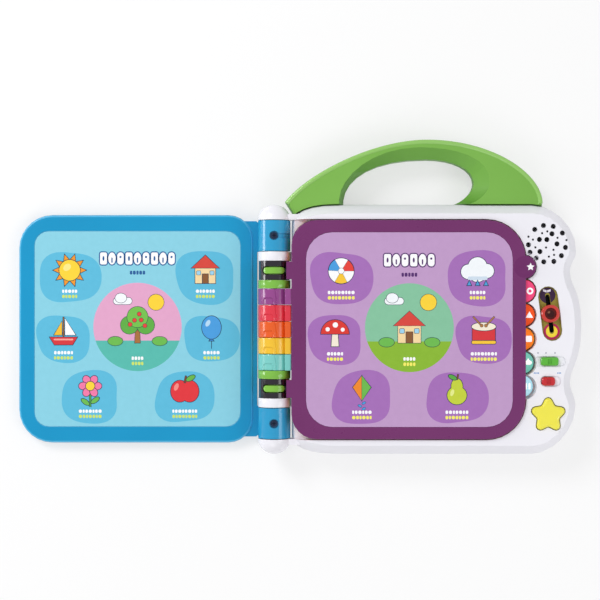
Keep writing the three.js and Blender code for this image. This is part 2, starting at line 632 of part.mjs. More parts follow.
// Handle: a flat loop whose hole is flared towards the face, seated on the case's top edge.
function handle(outline) {
  const foot = HALF_HEIGHT - 6;
  const loop = curved(HANDLE_TIP, [
    [CASE_LEFT_X + 20, foot],
    [HANDLE_RIGHT_X, foot],
    [HANDLE_RIGHT_X, HALF_HEIGHT],
    HANDLE_OUTER_RIGHT,
    HANDLE_OUTER_LEFT,
    HANDLE_TIP,
  ], 12);
  const body = loft(loop, [
    [HANDLE_BOTTOM_Z, HANDLE_RIM_WIDTH * 0.6],
    [HANDLE_BOTTOM_Z + 2.5, 0],
    [HANDLE_FACE_Z - HANDLE_RIM_DROP, 0],
    [HANDLE_FACE_Z - 1.4, 1],
    [HANDLE_FACE_Z, HANDLE_RIM_WIDTH],
  ]);
  const opening = (left, right, curves) =>
    curved([left, foot - 4], [[right, foot - 4], [right, HALF_HEIGHT], ...curves, [left, foot - 4]], 8);
  const gripHole = opening(GRIP_LEFT_X, GRIP_RIGHT_X, GRIP_CURVES);
  const faceHole = opening(FLARE_LEFT_X, FLARE_RIGHT_X, FLARE_CURVES);
  const flareStart = HANDLE_FACE_Z - 8;
  const hole = loftRings([
    { points: inset(gripHole, -1.5), z: HANDLE_BOTTOM_Z - 1 },
    { points: gripHole, z: HANDLE_BOTTOM_Z + 2 },
    { points: gripHole, z: flareStart },
    { points: faceHole, z: HANDLE_FACE_Z + 0.01 },
  ]);
  const seat = slab(inset(outline, -CLEARANCE), 0, CLOSED_THICKNESS);
  const domeStart = HALF_HEIGHT - DOME_LENGTH;
  const domeRoom = turned([[0, domeStart - CUT_MARGIN], [SPINE_RADIUS + CLEARANCE, domeStart - CUT_MARGIN],
    ...domeCurve(CLEARANCE).slice(0, -1), [0, HALF_HEIGHT + CLEARANCE]]);
  const webRoom = block(0, CASE_LEFT_X + WALL + 4, domeStart - CUT_MARGIN,
    domeStart + DOME_WEB_LENGTH + CLEARANCE, WEB_LOWEST_Z - CLEARANCE, CLOSED_THICKNESS);
  return without(body, [hole, seat, domeRoom, webRoom]);
}

// Cover: two mouldings with the hinge collars on the inner one.
function coverFlange(z0, z1) {
  return block(-COVER_FRAME_INNER_X - 30, -COVER_FLANGE_X, -COVER_FLANGE_HEIGHT / 2, COVER_FLANGE_HEIGHT / 2, z0, z1, 1);
}

const coverFieldOutline = (shrink = 0) => rectangle(
  -COVER_FIELD_X - COVER_FIELD_WIDTH / 2 + shrink, -COVER_FIELD_HEIGHT / 2 + shrink,
  -COVER_FIELD_X + COVER_FIELD_WIDTH / 2 - shrink, COVER_FIELD_HEIGHT / 2 - shrink, COVER_FIELD_CORNER);

function coverInner() {
  const low = COVER_SPLIT_Z + CLEARANCE / 2;
  const frame = loft(coverOutline(), [
    [low, 0],
    [COVER_THICKNESS - 1.8, 0],
    [COVER_THICKNESS - 0.5, 0.8],
    [COVER_THICKNESS, COVER_RIM_WIDTH],
  ]);
  const hollow = slab(inset(coverOutline(), WALL + 1), 0, COVER_THICKNESS - WALL - LABEL_RECESS);
  const field = slab(coverFieldOutline(), COVER_THICKNESS - LABEL_RECESS, COVER_THICKNESS + 1);
  const root = block(-COVER_FLANGE_X - 1, -SPINE_RADIUS, COLLAR_START_Y, COLLAR_END_Y, low, COVER_FLANGE_Z);
  return joined([without(frame, [hollow, field]), coverFlange(low, COVER_FLANGE_Z), bothEnds(root)]);
}

// A collar of the cover, which turns with the rod, and its foot, which meets the cover's flange. The upper one has a
// groove beside its screw.
function coverCollar(hasGroove) {
  const foot = block(-SPINE_RADIUS, COVER_ARM_REACH, COLLAR_START_Y, COLLAR_END_Y, 0, AXIS_Z - SPINE_RADIUS + 3);
  const groove = block(0, SPINE_RADIUS + 1, COLLAR_SCREW_Y - COLLAR_GROOVE_WIDTH / 2,
    COLLAR_SCREW_Y + COLLAR_GROOVE_WIDTH / 2, AXIS_Z, CLOSED_THICKNESS)
    .subtract(ring(0, SPINE_RADIUS - COLLAR_GROOVE_DEPTH, COLLAR_START_Y, COLLAR_END_Y));
  return without(ring(0, SPINE_RADIUS, COLLAR_START_Y, COLLAR_END_Y).add(foot), [
    ring(0, BORE_RADIUS, COLLAR_START_Y - 1, COLLAR_END_Y + 1, 12),
    post(0, COLLAR_SCREW_Y, COLLAR_SCREW_RECESS_RADIUS,
      AXIS_Z + SPINE_RADIUS - COLLAR_SCREW_RECESS_DEPTH, CLOSED_THICKNESS, 16),
    post(0, COLLAR_SCREW_Y, SCREW_SHANK_RADIUS + CLEARANCE, AXIS_Z, CLOSED_THICKNESS, 8),
    ...(hasGroove ? [groove] : []),
  ]);
}

function coverOuter() {
  const high = COVER_SPLIT_Z - CLEARANCE / 2;
  const back = loft(coverOutline(), [[0, 2], [2, 0], [high, 0]]);
  const hollow = slab(inset(coverOutline(), WALL + 1), WALL, COVER_THICKNESS);
  return back.subtract(hollow).add(coverFlange(0, high));
}

// One page, place 0 on top: a stiff leaf with its index tab. Its inner edge is seated on its knuckle, and the upper
// pages reach over the dark sleeves.
const pageZ = (place) => TOP_PAGE_Z - place * PAGE_PITCH;
const knuckleTop = (place) => GREEN_RING_START_Y - KNUCKLE_JOINT - place * (KNUCKLE_LENGTH + KNUCKLE_JOINT);

function page(place) {
  const z0 = pageZ(place);
  const z1 = z0 + PAGE_THICKNESS;
  const sheet = pageSlab(pageOutline(), z0, z1);
  const tab = pageSlab(circle(tabX, tabY(place), TAB_RADIUS), z0, z1);
  const y1 = knuckleTop(place);
  const seat = block(KNUCKLE_REACH_X, PAGE_INNER_X + 1, y1 - KNUCKLE_LENGTH, y1, z0, z1);
  const isOverSpine = Math.hypot(PAGE_TONGUE_X, z0 - AXIS_Z) > SPINE_RADIUS + CLEARANCE;
  const tongue = block(PAGE_TONGUE_X, PAGE_INNER_X + 1, SLEEVE_START_Y + 0.5, SLEEVE_END_Y - 0.5, z0, z1);
  const recesses = [[z1 - LABEL_RECESS, z1 + 1], [z0 - 1, z0 + LABEL_RECESS]]
    .map(([low, high]) => slab(pageFieldOutline(), low, high));
  return without(joined([sheet, tab, seat, ...(isOverSpine ? [bothEnds(tongue)] : [])]), recesses);
}

// A page's knuckle round the spine: a ring with a finger dent, and the riser that meets the page's inner edge.
function pageKnuckle(place) {
  const z0 = pageZ(place);
  const y1 = knuckleTop(place);
  const y0 = y1 - KNUCKLE_LENGTH;
  const knuckle = easedRing(BORE_RADIUS, SPINE_RADIUS, y0, y1, 0.5);
  const riser = block(KNUCKLE_RISER_X, KNUCKLE_REACH_X, y0, y1, z0 - KNUCKLE_RISER_DEPTH, z0 + PAGE_THICKNESS);
  const dent = slab(rounded([[DENT_LEFT_X, y0 - 1, 0], [DENT_RIGHT_X, y0 - 1, 0],
    [DENT_RIGHT_X, y0 + DENT_HEIGHT, DENT_CORNER], [DENT_LEFT_X, y0 + DENT_HEIGHT, DENT_CORNER]]), AXIS_Z, CLOSED_THICKNESS)
    .subtract(ring(0, SPINE_RADIUS - DENT_DEPTH, y0 - 2, y1 + 1));
  return knuckle.add(riser).subtract(dent);
}

function pageLabel(place, under) {
  const top = pageZ(place) + PAGE_THICKNESS;
  const floor = under ? pageZ(place) + LABEL_RECESS - LABEL_THICKNESS : top - LABEL_RECESS;
  return slab(pageFieldOutline(CLEARANCE), floor, floor + LABEL_THICKNESS);
}

// Spine furniture between the white rings and the knuckles.
function greenBush() {
  const bush = turned([
    [BORE_RADIUS, GREEN_RING_START_Y],
    [SPINE_RADIUS, GREEN_RING_START_Y],
    [SPINE_RADIUS, GREEN_RING_END_Y],
    [BUSH_CORE_RADIUS, GREEN_RING_END_Y],
    [BUSH_CORE_RADIUS, SLEEVE_END_Y],
    [BORE_RADIUS, SLEEVE_END_Y],
  ]);
  const pad = slab(ribOutline(0), AXIS_Z + BORE_RADIUS + 1, CLOSED_THICKNESS)
    .intersect(ring(0, RIB_RADIUS, SLEEVE_START_Y, SLEEVE_END_Y));
  return bush.add(pad);
}

const ribOutline = (grow) => rectangle(-RIB_WIDTH / 2 - grow, RIB_MIDDLE_Y - RIB_LENGTH / 2 - grow,
  RIB_WIDTH / 2 + grow, RIB_MIDDLE_Y + RIB_LENGTH / 2 + grow, RIB_CORNER + grow);

// The sleeve round the bush, with a window for the green pad.
function darkSleeve() {
  const tube = ring(BUSH_CORE_RADIUS + CLEARANCE, SLEEVE_RADIUS, SLEEVE_START_Y, SLEEVE_END_Y);
  return tube.subtract(slab(ribOutline(SLEEVE_WINDOW_GAP), AXIS_Z, CLOSED_THICKNESS));
}

const rodHalf = HALF_HEIGHT - WALL - CLEARANCE;

function bedLabel() {
  const sheet = slab(inset(pageOutline(), CASE_LEFT_X - PAGE_INNER_X + CLEARANCE), BED_FLOOR_Z, BED_Z);
  return sheet.add(post(tabX, tabY(PAGE_COUNT), TAB_RADIUS - CLEARANCE, BED_FLOOR_Z, BED_Z));
}

function screw(x, y, headTop, headHeight, tip, up = false) {
  const head = headHeight * (up ? -1 : 1);
  const profile = [[0, headTop], [SCREW_HEAD_RADIUS, headTop], [SCREW_HEAD_RADIUS, headTop - head],
    [SCREW_SHANK_RADIUS, headTop - head], [SCREW_SHANK_RADIUS, tip], [0, tip]];
  return turnedUpright(x, y, profile, 10);
}

// Controls: each has a cap above the panel and a stem or skirt that reaches its switch on the board.
const modeMiddle = [(MODE_SLOT_TOP[0] + MODE_SLOT_BOTTOM[0]) / 2, (MODE_SLOT_TOP[1] + MODE_SLOT_BOTTOM[1]) / 2];
const modeTurn = Math.atan2(MODE_SLOT_BOTTOM[1] - MODE_SLOT_TOP[1], MODE_SLOT_BOTTOM[0] - MODE_SLOT_TOP[0]);
const alongMode = (points) =>
  points.map((p) => p.clone().rotateAround(new THREE.Vector2(), modeTurn).add(new THREE.Vector2(...modeMiddle)));

function modePlate() {
  const rim = capsule(MODE_SLOT_TOP, MODE_SLOT_BOTTOM, MODE_SLOT_RADIUS + 1.4);
  const face = capsule(MODE_SLOT_TOP, MODE_SLOT_BOTTOM, MODE_SLOT_RADIUS - CLEARANCE);
  const underside = CASE_PANEL_Z - WALL - CLEARANCE;
  const body = slab(rim, MODE_PLATE_Z - 1.6, underside - 0.6)
    .subtract(bedLump(CLEARANCE))
    .add(slab(face, MODE_PLATE_Z - 1.6, MODE_PLATE_Z));
  const slot = slab(alongMode(capsule([-MODE_TRAVEL, 0], [MODE_TRAVEL, 0], STEM_RADIUS + CLEARANCE)),
    MODE_PLATE_Z - 3, MODE_PLATE_Z + 1);
  return body.subtract(slot);
}

function modeKnob() {
  const half = MODE_SLOT_RADIUS - 2 * CLEARANCE;
  const cap = loft(alongMode(rectangle(-half + 0.4, -half, half - 0.4, half, half - 0.9)), [
    [MODE_PLATE_Z + CLEARANCE, 0],
    [CASE_PANEL_Z + 1, 0],
    [CASE_PANEL_Z + 1.9, 0.9],
  ]);
  const dish = post(...modeMiddle, half - 2.6, CASE_PANEL_Z - 0.6, CASE_PANEL_Z + CUT_MARGIN, 24);
  const pip = post(...modeMiddle, half - 4.2, CASE_PANEL_Z - 1, CASE_PANEL_Z + 0.2, 20);
  const stem = post(...modeMiddle, STEM_RADIUS, MODE_SWITCH_TOP_Z + CLEARANCE, MODE_PLATE_Z + 1, 10);
  return cap.subtract(dish).add(pip).add(stem);
}

function sliderCap(shape, x, y) {
  const floor = CASE_PANEL_Z - SLIDER_RECESS_DEPTH + CLEARANCE;
  const top = CASE_PANEL_Z + SLIDER_PROUD;
  const cap = loft(shape, [[floor, 0], [top - 0.9, 0.1], [top, 0.9]]);
  const grips = [-1.2, 0, 1.2].map((across) =>
    block(x + across - 0.25, x + across + 0.25, y - 1.9, y + 1.9, top - 0.5, top + 1));
  const stem = post(x, y, STEM_RADIUS, SLIDE_SWITCH_TOP_Z + CLEARANCE, floor + 1, 10);
  return without(cap, grips).add(stem);
}

function starButton() {
  const top = CASE_PANEL_Z + STAR_PROUD;
  const cap = loft(starOutline(), [
    [CASE_PANEL_Z - 3, 0],
    [top - 1.6, 0.1],
    [top - 0.5, 1],
    [top, 2.6],
  ]);
  const flange = post(STAR_X, STAR_Y, STAR_FLANGE_RADIUS, STAR_FLANGE_Z, STAR_FLANGE_Z + 1.4)
    .add(post(STAR_X, STAR_Y, STAR_RADIUS * STAR_WAIST_SHARE, STAR_FLANGE_Z + 1, CASE_PANEL_Z, 14));
  const cavity = post(STAR_X, STAR_Y, STAR_RADIUS * STAR_WAIST_SHARE - 1.6, STAR_FLANGE_Z - 1, CASE_PANEL_Z - 1.5, 14);
  const plunger = post(STAR_X, STAR_Y, 2, STAR_FLANGE_Z, CASE_PANEL_Z - 1, 8);
  return joined([cap, flange]).subtract(cavity).add(plunger);
}

// The soft rubber dome under the button, which closes its contact and pushes it back.
function starDome() {
  const low = BOARD_TOP_Z + 0.01;
  const high = STAR_FLANGE_Z - CLEARANCE;
  return turnedUpright(STAR_X, STAR_Y, [
    [0, low + 1.4], [3, low + 1.4], [3, low], [7.4, low], [7.4, low + 1], [4.6, high - 1.2], [4.6, high], [0, high],
  ], 14);
}

// The loudspeaker under the grille: its basket carries the magnet.
function speakerBasket() {
  const top = CASE_PANEL_Z - WALL - CLEARANCE;
  const floor = top - SPEAKER_DEPTH;
  const basket = turnedUpright(SPEAKER_X, SPEAKER_Y, [
    [SPEAKER_RADIUS - 1.6, top], [SPEAKER_RADIUS, top], [SPEAKER_RADIUS, top - 1.2],
    [SPEAKER_RADIUS - 4.6, floor], [4.6, floor], [4.6, floor + 1],
    [SPEAKER_RADIUS - 5, floor + 1], [SPEAKER_RADIUS - 1.6, top - 1.2], [SPEAKER_RADIUS - 1.6, top],
  ], 16);
  const magnet = post(SPEAKER_X, SPEAKER_Y, MAGNET_RADIUS, floor - MAGNET_THICKNESS, floor + 0.5, 16);
  return basket.add(magnet);
}

function speakerCone() {
  const top = CASE_PANEL_Z - WALL - CLEARANCE;
  return turnedUpright(SPEAKER_X, SPEAKER_Y, [
    [0, top - 2.9], [3.4, top - 2.7], [SPEAKER_RADIUS - 2, top - 0.6], [SPEAKER_RADIUS - 2, top - 0.9],
    [SPEAKER_RADIUS - 5, top - 2.4], [3.4, top - 3.7], [0, top - 3.8],
  ], 16);
}

const mainBoard = () => slab(boardOutline, BOARD_Z, BOARD_TOP_Z);

// Power: two cells held between a pair of stamped contact plates
const cellY = (side) => BATTERY_Y + side * (BATTERY_RADIUS + 0.5);
const CELL_Z = DOOR_THICKNESS + 3 * CLEARANCE + BATTERY_RADIUS;

function cell(side) {
  const half = BATTERY_LENGTH / 2;
  const profile = [[0, -half], [BATTERY_RADIUS, -half], [BATTERY_RADIUS, half - 1.6], [2.7, half - 1.6],
    [2.7, half], [0, half]];
  const geometry = new THREE.LatheGeometry(profile.map(([r, y]) => new THREE.Vector2(r, y)), 14);
  geometry.rotateZ((side * Math.PI) / 2);
  geometry.translate(BATTERY_X, cellY(side), CELL_Z);
  return solidFrom(geometry);
}

function contactPlate(end) {
  const x = BATTERY_X + end * (bayWidth / 2 - 0.4);
  const reach = 2 * BATTERY_RADIUS;
  const low = DOOR_THICKNESS + 3;
  const between = (across) => [Math.min(x, x - end * across), Math.max(x, x - end * across)];
  const strip = block(...between(0.4), BATTERY_Y - reach, BATTERY_Y + reach, low, low + 9);
  const nub = block(...between(2.2), cellY(end) - 2, cellY(end) + 2, CELL_Z - 2, CELL_Z + 2);
  return strip.add(nub);
}

function batteryDoor() {
  const panel = slab(doorOutline(), 0, DOOR_THICKNESS);
  const ribs = [-2, -1, 1, 2].map((k) => block(BATTERY_X - 16, BATTERY_X + 16, BATTERY_Y + k * 5 - 0.5,
    BATTERY_Y + k * 5 + 0.5, -1, 0.6));
  const [x, y] = DOOR_SCREW_AT;
  const screwRoom = post(x, y, SCREW_HEAD_RADIUS + CLEARANCE, -1, 1.4, 14).add(
    post(x, y, SCREW_SHANK_RADIUS + CLEARANCE, -1, DOOR_THICKNESS + 1, 10));
  return without(panel, [...ribs, screwRoom]);
}

const SLIDE_SWITCH_TOP_Z = BOARD_TOP_Z + 6;
const MODE_SWITCH_TOP_Z = BOARD_TOP_Z + 5;
const STAR_FLANGE_Z = CASE_PANEL_Z - WALL - CLEARANCE - 2 - STAR_TRAVEL;

function switchBody(x, y, width, height, top) {
  return block(x - width / 2, x + width / 2, y - height / 2, y + height / 2, BOARD_TOP_Z + 0.01, top, 0.8);
}

const outline = caseOutline();

add("rear_shell", rearShell(outline), COLOURS.white);
add("front_shell", frontShell(outline), COLOURS.white);
add("handle", handle(outline), COLOURS.green);
add("cover_inner_panel", coverInner(), COLOURS.coverBlue);
add("cover_outer_panel", coverOuter(), COLOURS.coverBlue);
add("cover_label", slab(coverFieldOutline(CLEARANCE), COVER_THICKNESS - LABEL_RECESS,
  COVER_THICKNESS - LABEL_RECESS + LABEL_THICKNESS), COLOURS.printBlue);
for (let place = 0; place < PAGE_COUNT; place++) {
  add(`page_${place + 1}`, page(place), PAGE_COLOURS[place]);
  add(`page_${place + 1}_knuckle`, pageKnuckle(place), PAGE_COLOURS[place]);
  add(`page_${place + 1}_front_label`, pageLabel(place, false), COLOURS.printBlue);
  add(`page_${place + 1}_back_label`, pageLabel(place, true), COLOURS.printBlue);
}

for (const [end, name] of [[1, "top"], [-1, "bottom"]]) {
  const place = (solid) => (end > 0 ? solid : mirrorY(solid));
  add(`cover_collar_${name}`, place(coverCollar(end > 0)), COLOURS.coverBlue);
  add(`green_bush_${name}`, place(greenBush()), COLOURS.ribGreen);
  add(`dark_sleeve_${name}`, place(darkSleeve()), COLOURS.dark, 0.15);
  const headTop = AXIS_Z + SPINE_RADIUS - COLLAR_SCREW_RECESS_DEPTH + CLEARANCE + 1.6;
  add(`collar_screw_${name}`, place(screw(0, COLLAR_SCREW_Y, headTop, 1.6, AXIS_Z + ROD_RADIUS + CLEARANCE)),
    COLOURS.steel, 0.3, 1);
}
add("hinge_rod", ring(0, ROD_RADIUS, -rodHalf, rodHalf, 20), COLOURS.steel, 0.3, 1);

add("bed_label", bedLabel(), COLOURS.printBlue);
add("mode_plate", modePlate(), COLOURS.olive);
add("mode_knob", modeKnob(), COLOURS.red);
add("volume_slider", sliderCap(volumeOutline, VOLUME_X, VOLUME_Y), COLOURS.slideGreen);
add("language_slider", sliderCap(languageOutline, LANGUAGE_X, LANGUAGE_Y), COLOURS.red);
add("star_button", starButton(), COLOURS.yellow, 0.3);
add("star_rubber_dome", starDome(), COLOURS.dark, 0.8);

add("speaker_basket", speakerBasket(), COLOURS.steel, 0.4, 1);
add("speaker_cone", speakerCone(), COLOURS.paper, 0.9);
add("main_board", mainBoard(), COLOURS.board, 0.6);
add("mode_switch", switchBody(...modeMiddle, 12, 32, MODE_SWITCH_TOP_Z), COLOURS.dark, 0.5);
add("volume_switch", switchBody(VOLUME_X, VOLUME_Y, 14, 6, SLIDE_SWITCH_TOP_Z), COLOURS.dark, 0.5);
add("language_switch", switchBody(LANGUAGE_X + LANGUAGE_TRAVEL / 2, LANGUAGE_Y, 10, 6, SLIDE_SWITCH_TOP_Z),
  COLOURS.dark, 0.5);

add("battery_door", batteryDoor(), COLOURS.white);
add("battery_door_screw", screw(...DOOR_SCREW_AT, 0.1, 1.1, 8, true), COLOURS.steel, 0.3, 1);
add("battery_1", cell(1), COLOURS.copper, 0.4, 1);
add("battery_2", cell(-1), COLOURS.copper, 0.4, 1);
add("battery_contact_left", contactPlate(-1), COLOURS.steel, 0.3, 1);
add("battery_contact_right", contactPlate(1), COLOURS.steel, 0.3, 1);
CASE_SCREWS.forEach(([x, y], i) => {
  add(`case_screw_${i + 1}`, screw(x, y, CASE_SCREW_DEPTH - 2, 2, BED_FLOOR_Z - 2, true),
    COLOURS.steel, 0.3, 1);
});

const box = new THREE.Box3().setFromObject(book);
const middle = box.getCenter(new THREE.Vector3());
book.position.set(-middle.x, -middle.y, -box.min.z);

export default book;
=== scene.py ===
import math

import bpy
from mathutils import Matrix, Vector


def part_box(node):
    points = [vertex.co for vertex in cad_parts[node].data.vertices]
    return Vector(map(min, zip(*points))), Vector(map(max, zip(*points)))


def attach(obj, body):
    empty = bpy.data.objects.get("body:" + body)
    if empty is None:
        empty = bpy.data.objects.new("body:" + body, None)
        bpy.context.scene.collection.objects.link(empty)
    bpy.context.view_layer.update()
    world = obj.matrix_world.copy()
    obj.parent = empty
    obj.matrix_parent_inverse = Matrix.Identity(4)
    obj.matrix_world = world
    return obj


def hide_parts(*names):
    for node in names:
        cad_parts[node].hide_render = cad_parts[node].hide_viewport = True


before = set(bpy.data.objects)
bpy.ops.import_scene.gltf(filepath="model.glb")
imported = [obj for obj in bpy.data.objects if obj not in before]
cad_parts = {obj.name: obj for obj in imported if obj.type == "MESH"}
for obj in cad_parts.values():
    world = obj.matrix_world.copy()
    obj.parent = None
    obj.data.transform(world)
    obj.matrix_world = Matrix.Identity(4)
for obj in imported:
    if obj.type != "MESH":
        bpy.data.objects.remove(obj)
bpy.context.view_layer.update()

MM = 0.001

# Places taken from the frame, in metres
rod_low, rod_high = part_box("hinge_rod")
SPINE_X = (rod_low.x + rod_high.x) / 2
SPINE_Y = (rod_low.y + rod_high.y) / 2
SPINE_Z = (rod_low.z + rod_high.z) / 2
PAGE_COUNT = 5

# Sizes of the spine and the handle that the finer pieces follow, in millimetres from the spine's axis
SPINE_RADIUS = 12.9
BORE_RADIUS = 2.8
HALF_HEIGHT = 99.6
DOME_LENGTH = 12.4
DOME_WALL = 1.0
WHITE_RING = (54.6, 61.8)
GREEN_RING = (32.7, 39.1)
RING_WALL = 1.5
WHITE_RING_EASE = 0.4
GREEN_RING_EASE = 0.9
HANDLE_EDGE = [(214.3, 100.4), (214.3, 124), (175.2, 151.5), (122, 151.5),
               (79, 151.5), (26, 124.5), (8.6, 101.8)]

# How far the finer skins stand over the solids, and how far the domes' tips stay inside the part's box
PROUD = 0.05
TIP_ROOM = 0.01

# A knuckle's eased ends, as steps (in from the surface, along the axis), its finger dent and its seam
KNUCKLE_EASE = [(0.45, 0.0), (0.1, 0.15)]
KNUCKLE_FLAT_START = 0.5
DENT_LEFT = -8.7
DENT_RIGHT = -0.4
DENT_FOOT = -3.0
DENT_TOP = 5.5
DENT_CORNER = 2.5
DENT_DEPTH = 1.0
SEAM_X = 1.8
SEAM_LEAN = 0.9
SEAM_LEAN_START = 4
SEAM_DEPTH = 0.45
RISER_LEFT = 8.6
RISER_RIGHT = 13.5
RISER_HEIGHT = 6.4

# The bead along the handle's edge; the face's height is from the table
HANDLE_FACE_Z = 28
BEAD_INSET = 2.05
BEAD_HALF_WIDTH = 1.95
BEAD_HALF_HEIGHT = 1.7
BEAD_SINK = 1.0

# Places of the controls and the tabs that their print follows: across and up from the spine's axis
MODE_TOP = (216.9, 27.1)
MODE_MIDDLE = (218.65, 12.6)
MODE_BOTTOM = (220.3, -1.6)
MODE_SLOT_HALF = 1.9
VOLUME_MARKS_X = (208.9, 215.2, 222.3)
VOLUME_MARKS_Y = -18.5
LANGUAGE_MARKS_X = (207.6, 225.6)
LANGUAGE_MARKS_Y = -34.4
TAB_INSET = 9.2
TAB_TOP_Y = 49.5
TAB_PITCH = 19.0
TAB_DISC_RADIUS = 8.6
TAB_SIGN_OFFSET = 4.6

# Painted light: each tab's print glows a step more than the one above, to lift it out of the shade of its
# deeper recess
TAB_PAINTED_LIGHT_STEP = 0.16

# Heights of the control panel and the mode plate's face over the case's back, and the dish in the knob
PANEL_HEIGHT = 36.0
MODE_FACE_HEIGHT = 33.0
KNOB_DISH = 1.7

# A printed face: patches and their captions, the disc as shares of the sheet, and the title's tiles
PATCH_HALF_WIDTH = 25
PATCH_HALF_HEIGHT = 22
MOTIF_RISE = 5.6
MOTIF_SIZE = 1.32
CAPTION_DROPS = (11.4, 15.6)
CAPTION_HEIGHT = 2.7
DISC_SHARE = 0.43
DISC_RISE_SHARE = 0.02
DISC_CAPTION_RISES = (10.4, 6.2)
DISC_CAPTION_HEIGHT = 2.8
GROUND_START = 198
GROUND_SPAN = 144
TITLE_DROP = 22
SUBTITLE_DROP = 33.5
TILE_PITCH = 6.9
TILE_HEIGHT = 9.8
TILE_EDGE = 0.9
COVER_TILES = 9
PAGE_TILES = 6

# The printed palette, as sRGB
INK = "23324a"
WHITE = "fbfbfd"
COVER_FIELD = "8ad0e3"
COVER_BLOB = "5dbbdc"
COVER_DISC = "e3a6ca"
COVER_GROUND = "58bbae"
LIME = "cfe36a"
PAGE_BORDERS = ["702866", "d92c43", "ea5a18", "f0b524", "6cc4bc"]
PAGE_KNUCKLES = ["93408a", "e22f43", "ec5c12", "f5c22a", "78ccc5"]
PAGE_FIELDS = ["c09bc8", "f4a3ab", "f8b48c", "f8dc90", "b2e2de"]
PAGE_BLOBS = ["a56fb8", "ea7683", "f08a55", "eebf4a", "80cdc8"]
PAGE_DISCS = ["86c3a0", "f9d7a8", "a8d8e8", "b8dca0", "e8b4d0"]
PAGE_GROUNDS = ["8ab834", "7cc4b4", "6cae58", "5bb0d0", "c488c0"]
COVER_TITLE = "2b5f9a"
FIRST_PAGE_TITLE = "55306e"
PAGE_TITLE = "5a3a3a"
PAGE_CAPTION = "f8ef6a"
TAB_COLOURS = ["6d2a64", "e8467a", "e5501c", "f08020", "70c2b2", "a4d3e2"]

# Inks of the motifs
SUN_YELLOW = "fbd43c"
CLOUD_WHITE = "f4f8fc"
LEAF_GREEN = "6dba50"
CROWN_GREEN = "5fae46"
CROWN_LIGHT = "74c04e"
BERRY_RED = "e5433c"
WALL_CREAM = "f6d9a4"
ROOF_RED = "d8483e"
WOOD_BROWN = "8a5a34"
TRUNK_BROWN = "a8703c"
STALK_BROWN = "7a4a2a"
STICK_BROWN = "b07a44"
WINDOW_BLUE = "9fd4ee"
BALL_BLUE = "4a9ee0"
GOLD = "f8c83a"
HULL_RED = "d8383e"
APPLE_RED = "e2383f"
PEAR_GREEN = "c4d23e"

# Camera: straight above the open book, a little over a metre from the table
CAMERA_HEIGHT = 1.1
PICTURE_WIDTH = 0.48
PICTURE_CENTRE = Vector((SPINE_X + 0.0206, SPINE_Y + 0.0234, 0))
SENSOR = 36.0

# Depths of the surfaces' bump and the reach within which doubled points are joined, in metres
GRAIN_DEPTH = 0.00008
TOOTH_DEPTH = 0.00003
PITTING_DEPTH = 0.00004
WELD_REACH = 0.000002

# Rounding of the solids' edges, in metres
COMMON_EDGE = 0.0003
EDGES = {"front_shell": 0.0005, "rear_shell": 0.0005, "handle": 0.0006, "cover_inner_panel": 0.0005,
         "cover_outer_panel": 0.0006, "star_button": 0.0006, "mode_knob": 0.0005}

# Sockets of a mix node that blends colours
COLOUR_A = 6
COLOUR_B = 7
COLOUR_RESULT = 2


def linear(value):
    """One channel of an sRGB colour as linear light."""
    return value / 12.92 if value <= 0.04045 else ((value + 0.055) / 1.055) ** 2.4


def colour(code, lighten=0.0):
    """The linear colour of an sRGB code, moved towards white, or towards black where lighten is negative."""
    channels = [int(code[i:i + 2], 16) / 255 for i in (0, 2, 4)]
    mixed = [c + (1 - c) * lighten if lighten > 0 else c * (1 + lighten) for c in channels]
    return (*[linear(c) for c in mixed], 1.0)


# Materials
def start_material(name):
    material = bpy.data.materials.new(name)
    material.use_nodes = True
    nodes = material.node_tree.nodes
    shader = nodes["Principled BSDF"]
    place = nodes.new("ShaderNodeTexCoord")
    return material, nodes, material.node_tree.links, shader, place.outputs["Object"]


def noise(nodes, links, place, scale, detail):
    node = nodes.new("ShaderNodeTexNoise")
    node.inputs["Scale"].default_value = scale
    node.inputs["Detail"].default_value = detail
    links.new(place, node.inputs["Vector"])
    return node.outputs["Fac"]


def ramp(nodes, links, factor, low, high, start=0.3, end=0.7):
    node = nodes.new("ShaderNodeValToRGB")
    node.color_ramp.elements[0].position = start
    node.color_ramp.elements[1].position = end
    node.color_ramp.elements[0].color = low
    node.color_ramp.elements[1].color = high
    links.new(factor, node.inputs["Fac"])
    return node.outputs["Color"]


def uneven_gloss(nodes, links, shader, factor, low, high):
    """A roughness that wanders between two values."""
    spread = ramp(nodes, links, factor, (low, low, low, 1), (high, high, high, 1))
    links.new(spread, shader.inputs["Roughness"])


def add_bump(nodes, links, shader, height, strength, distance):
    bump = nodes.new("ShaderNodeBump")
    bump.inputs["Strength"].default_value = strength
    bump.inputs["Distance"].default_value = distance
    links.new(height, bump.inputs["Height"])
    links.new(bump.outputs["Normal"], shader.inputs["Normal"])


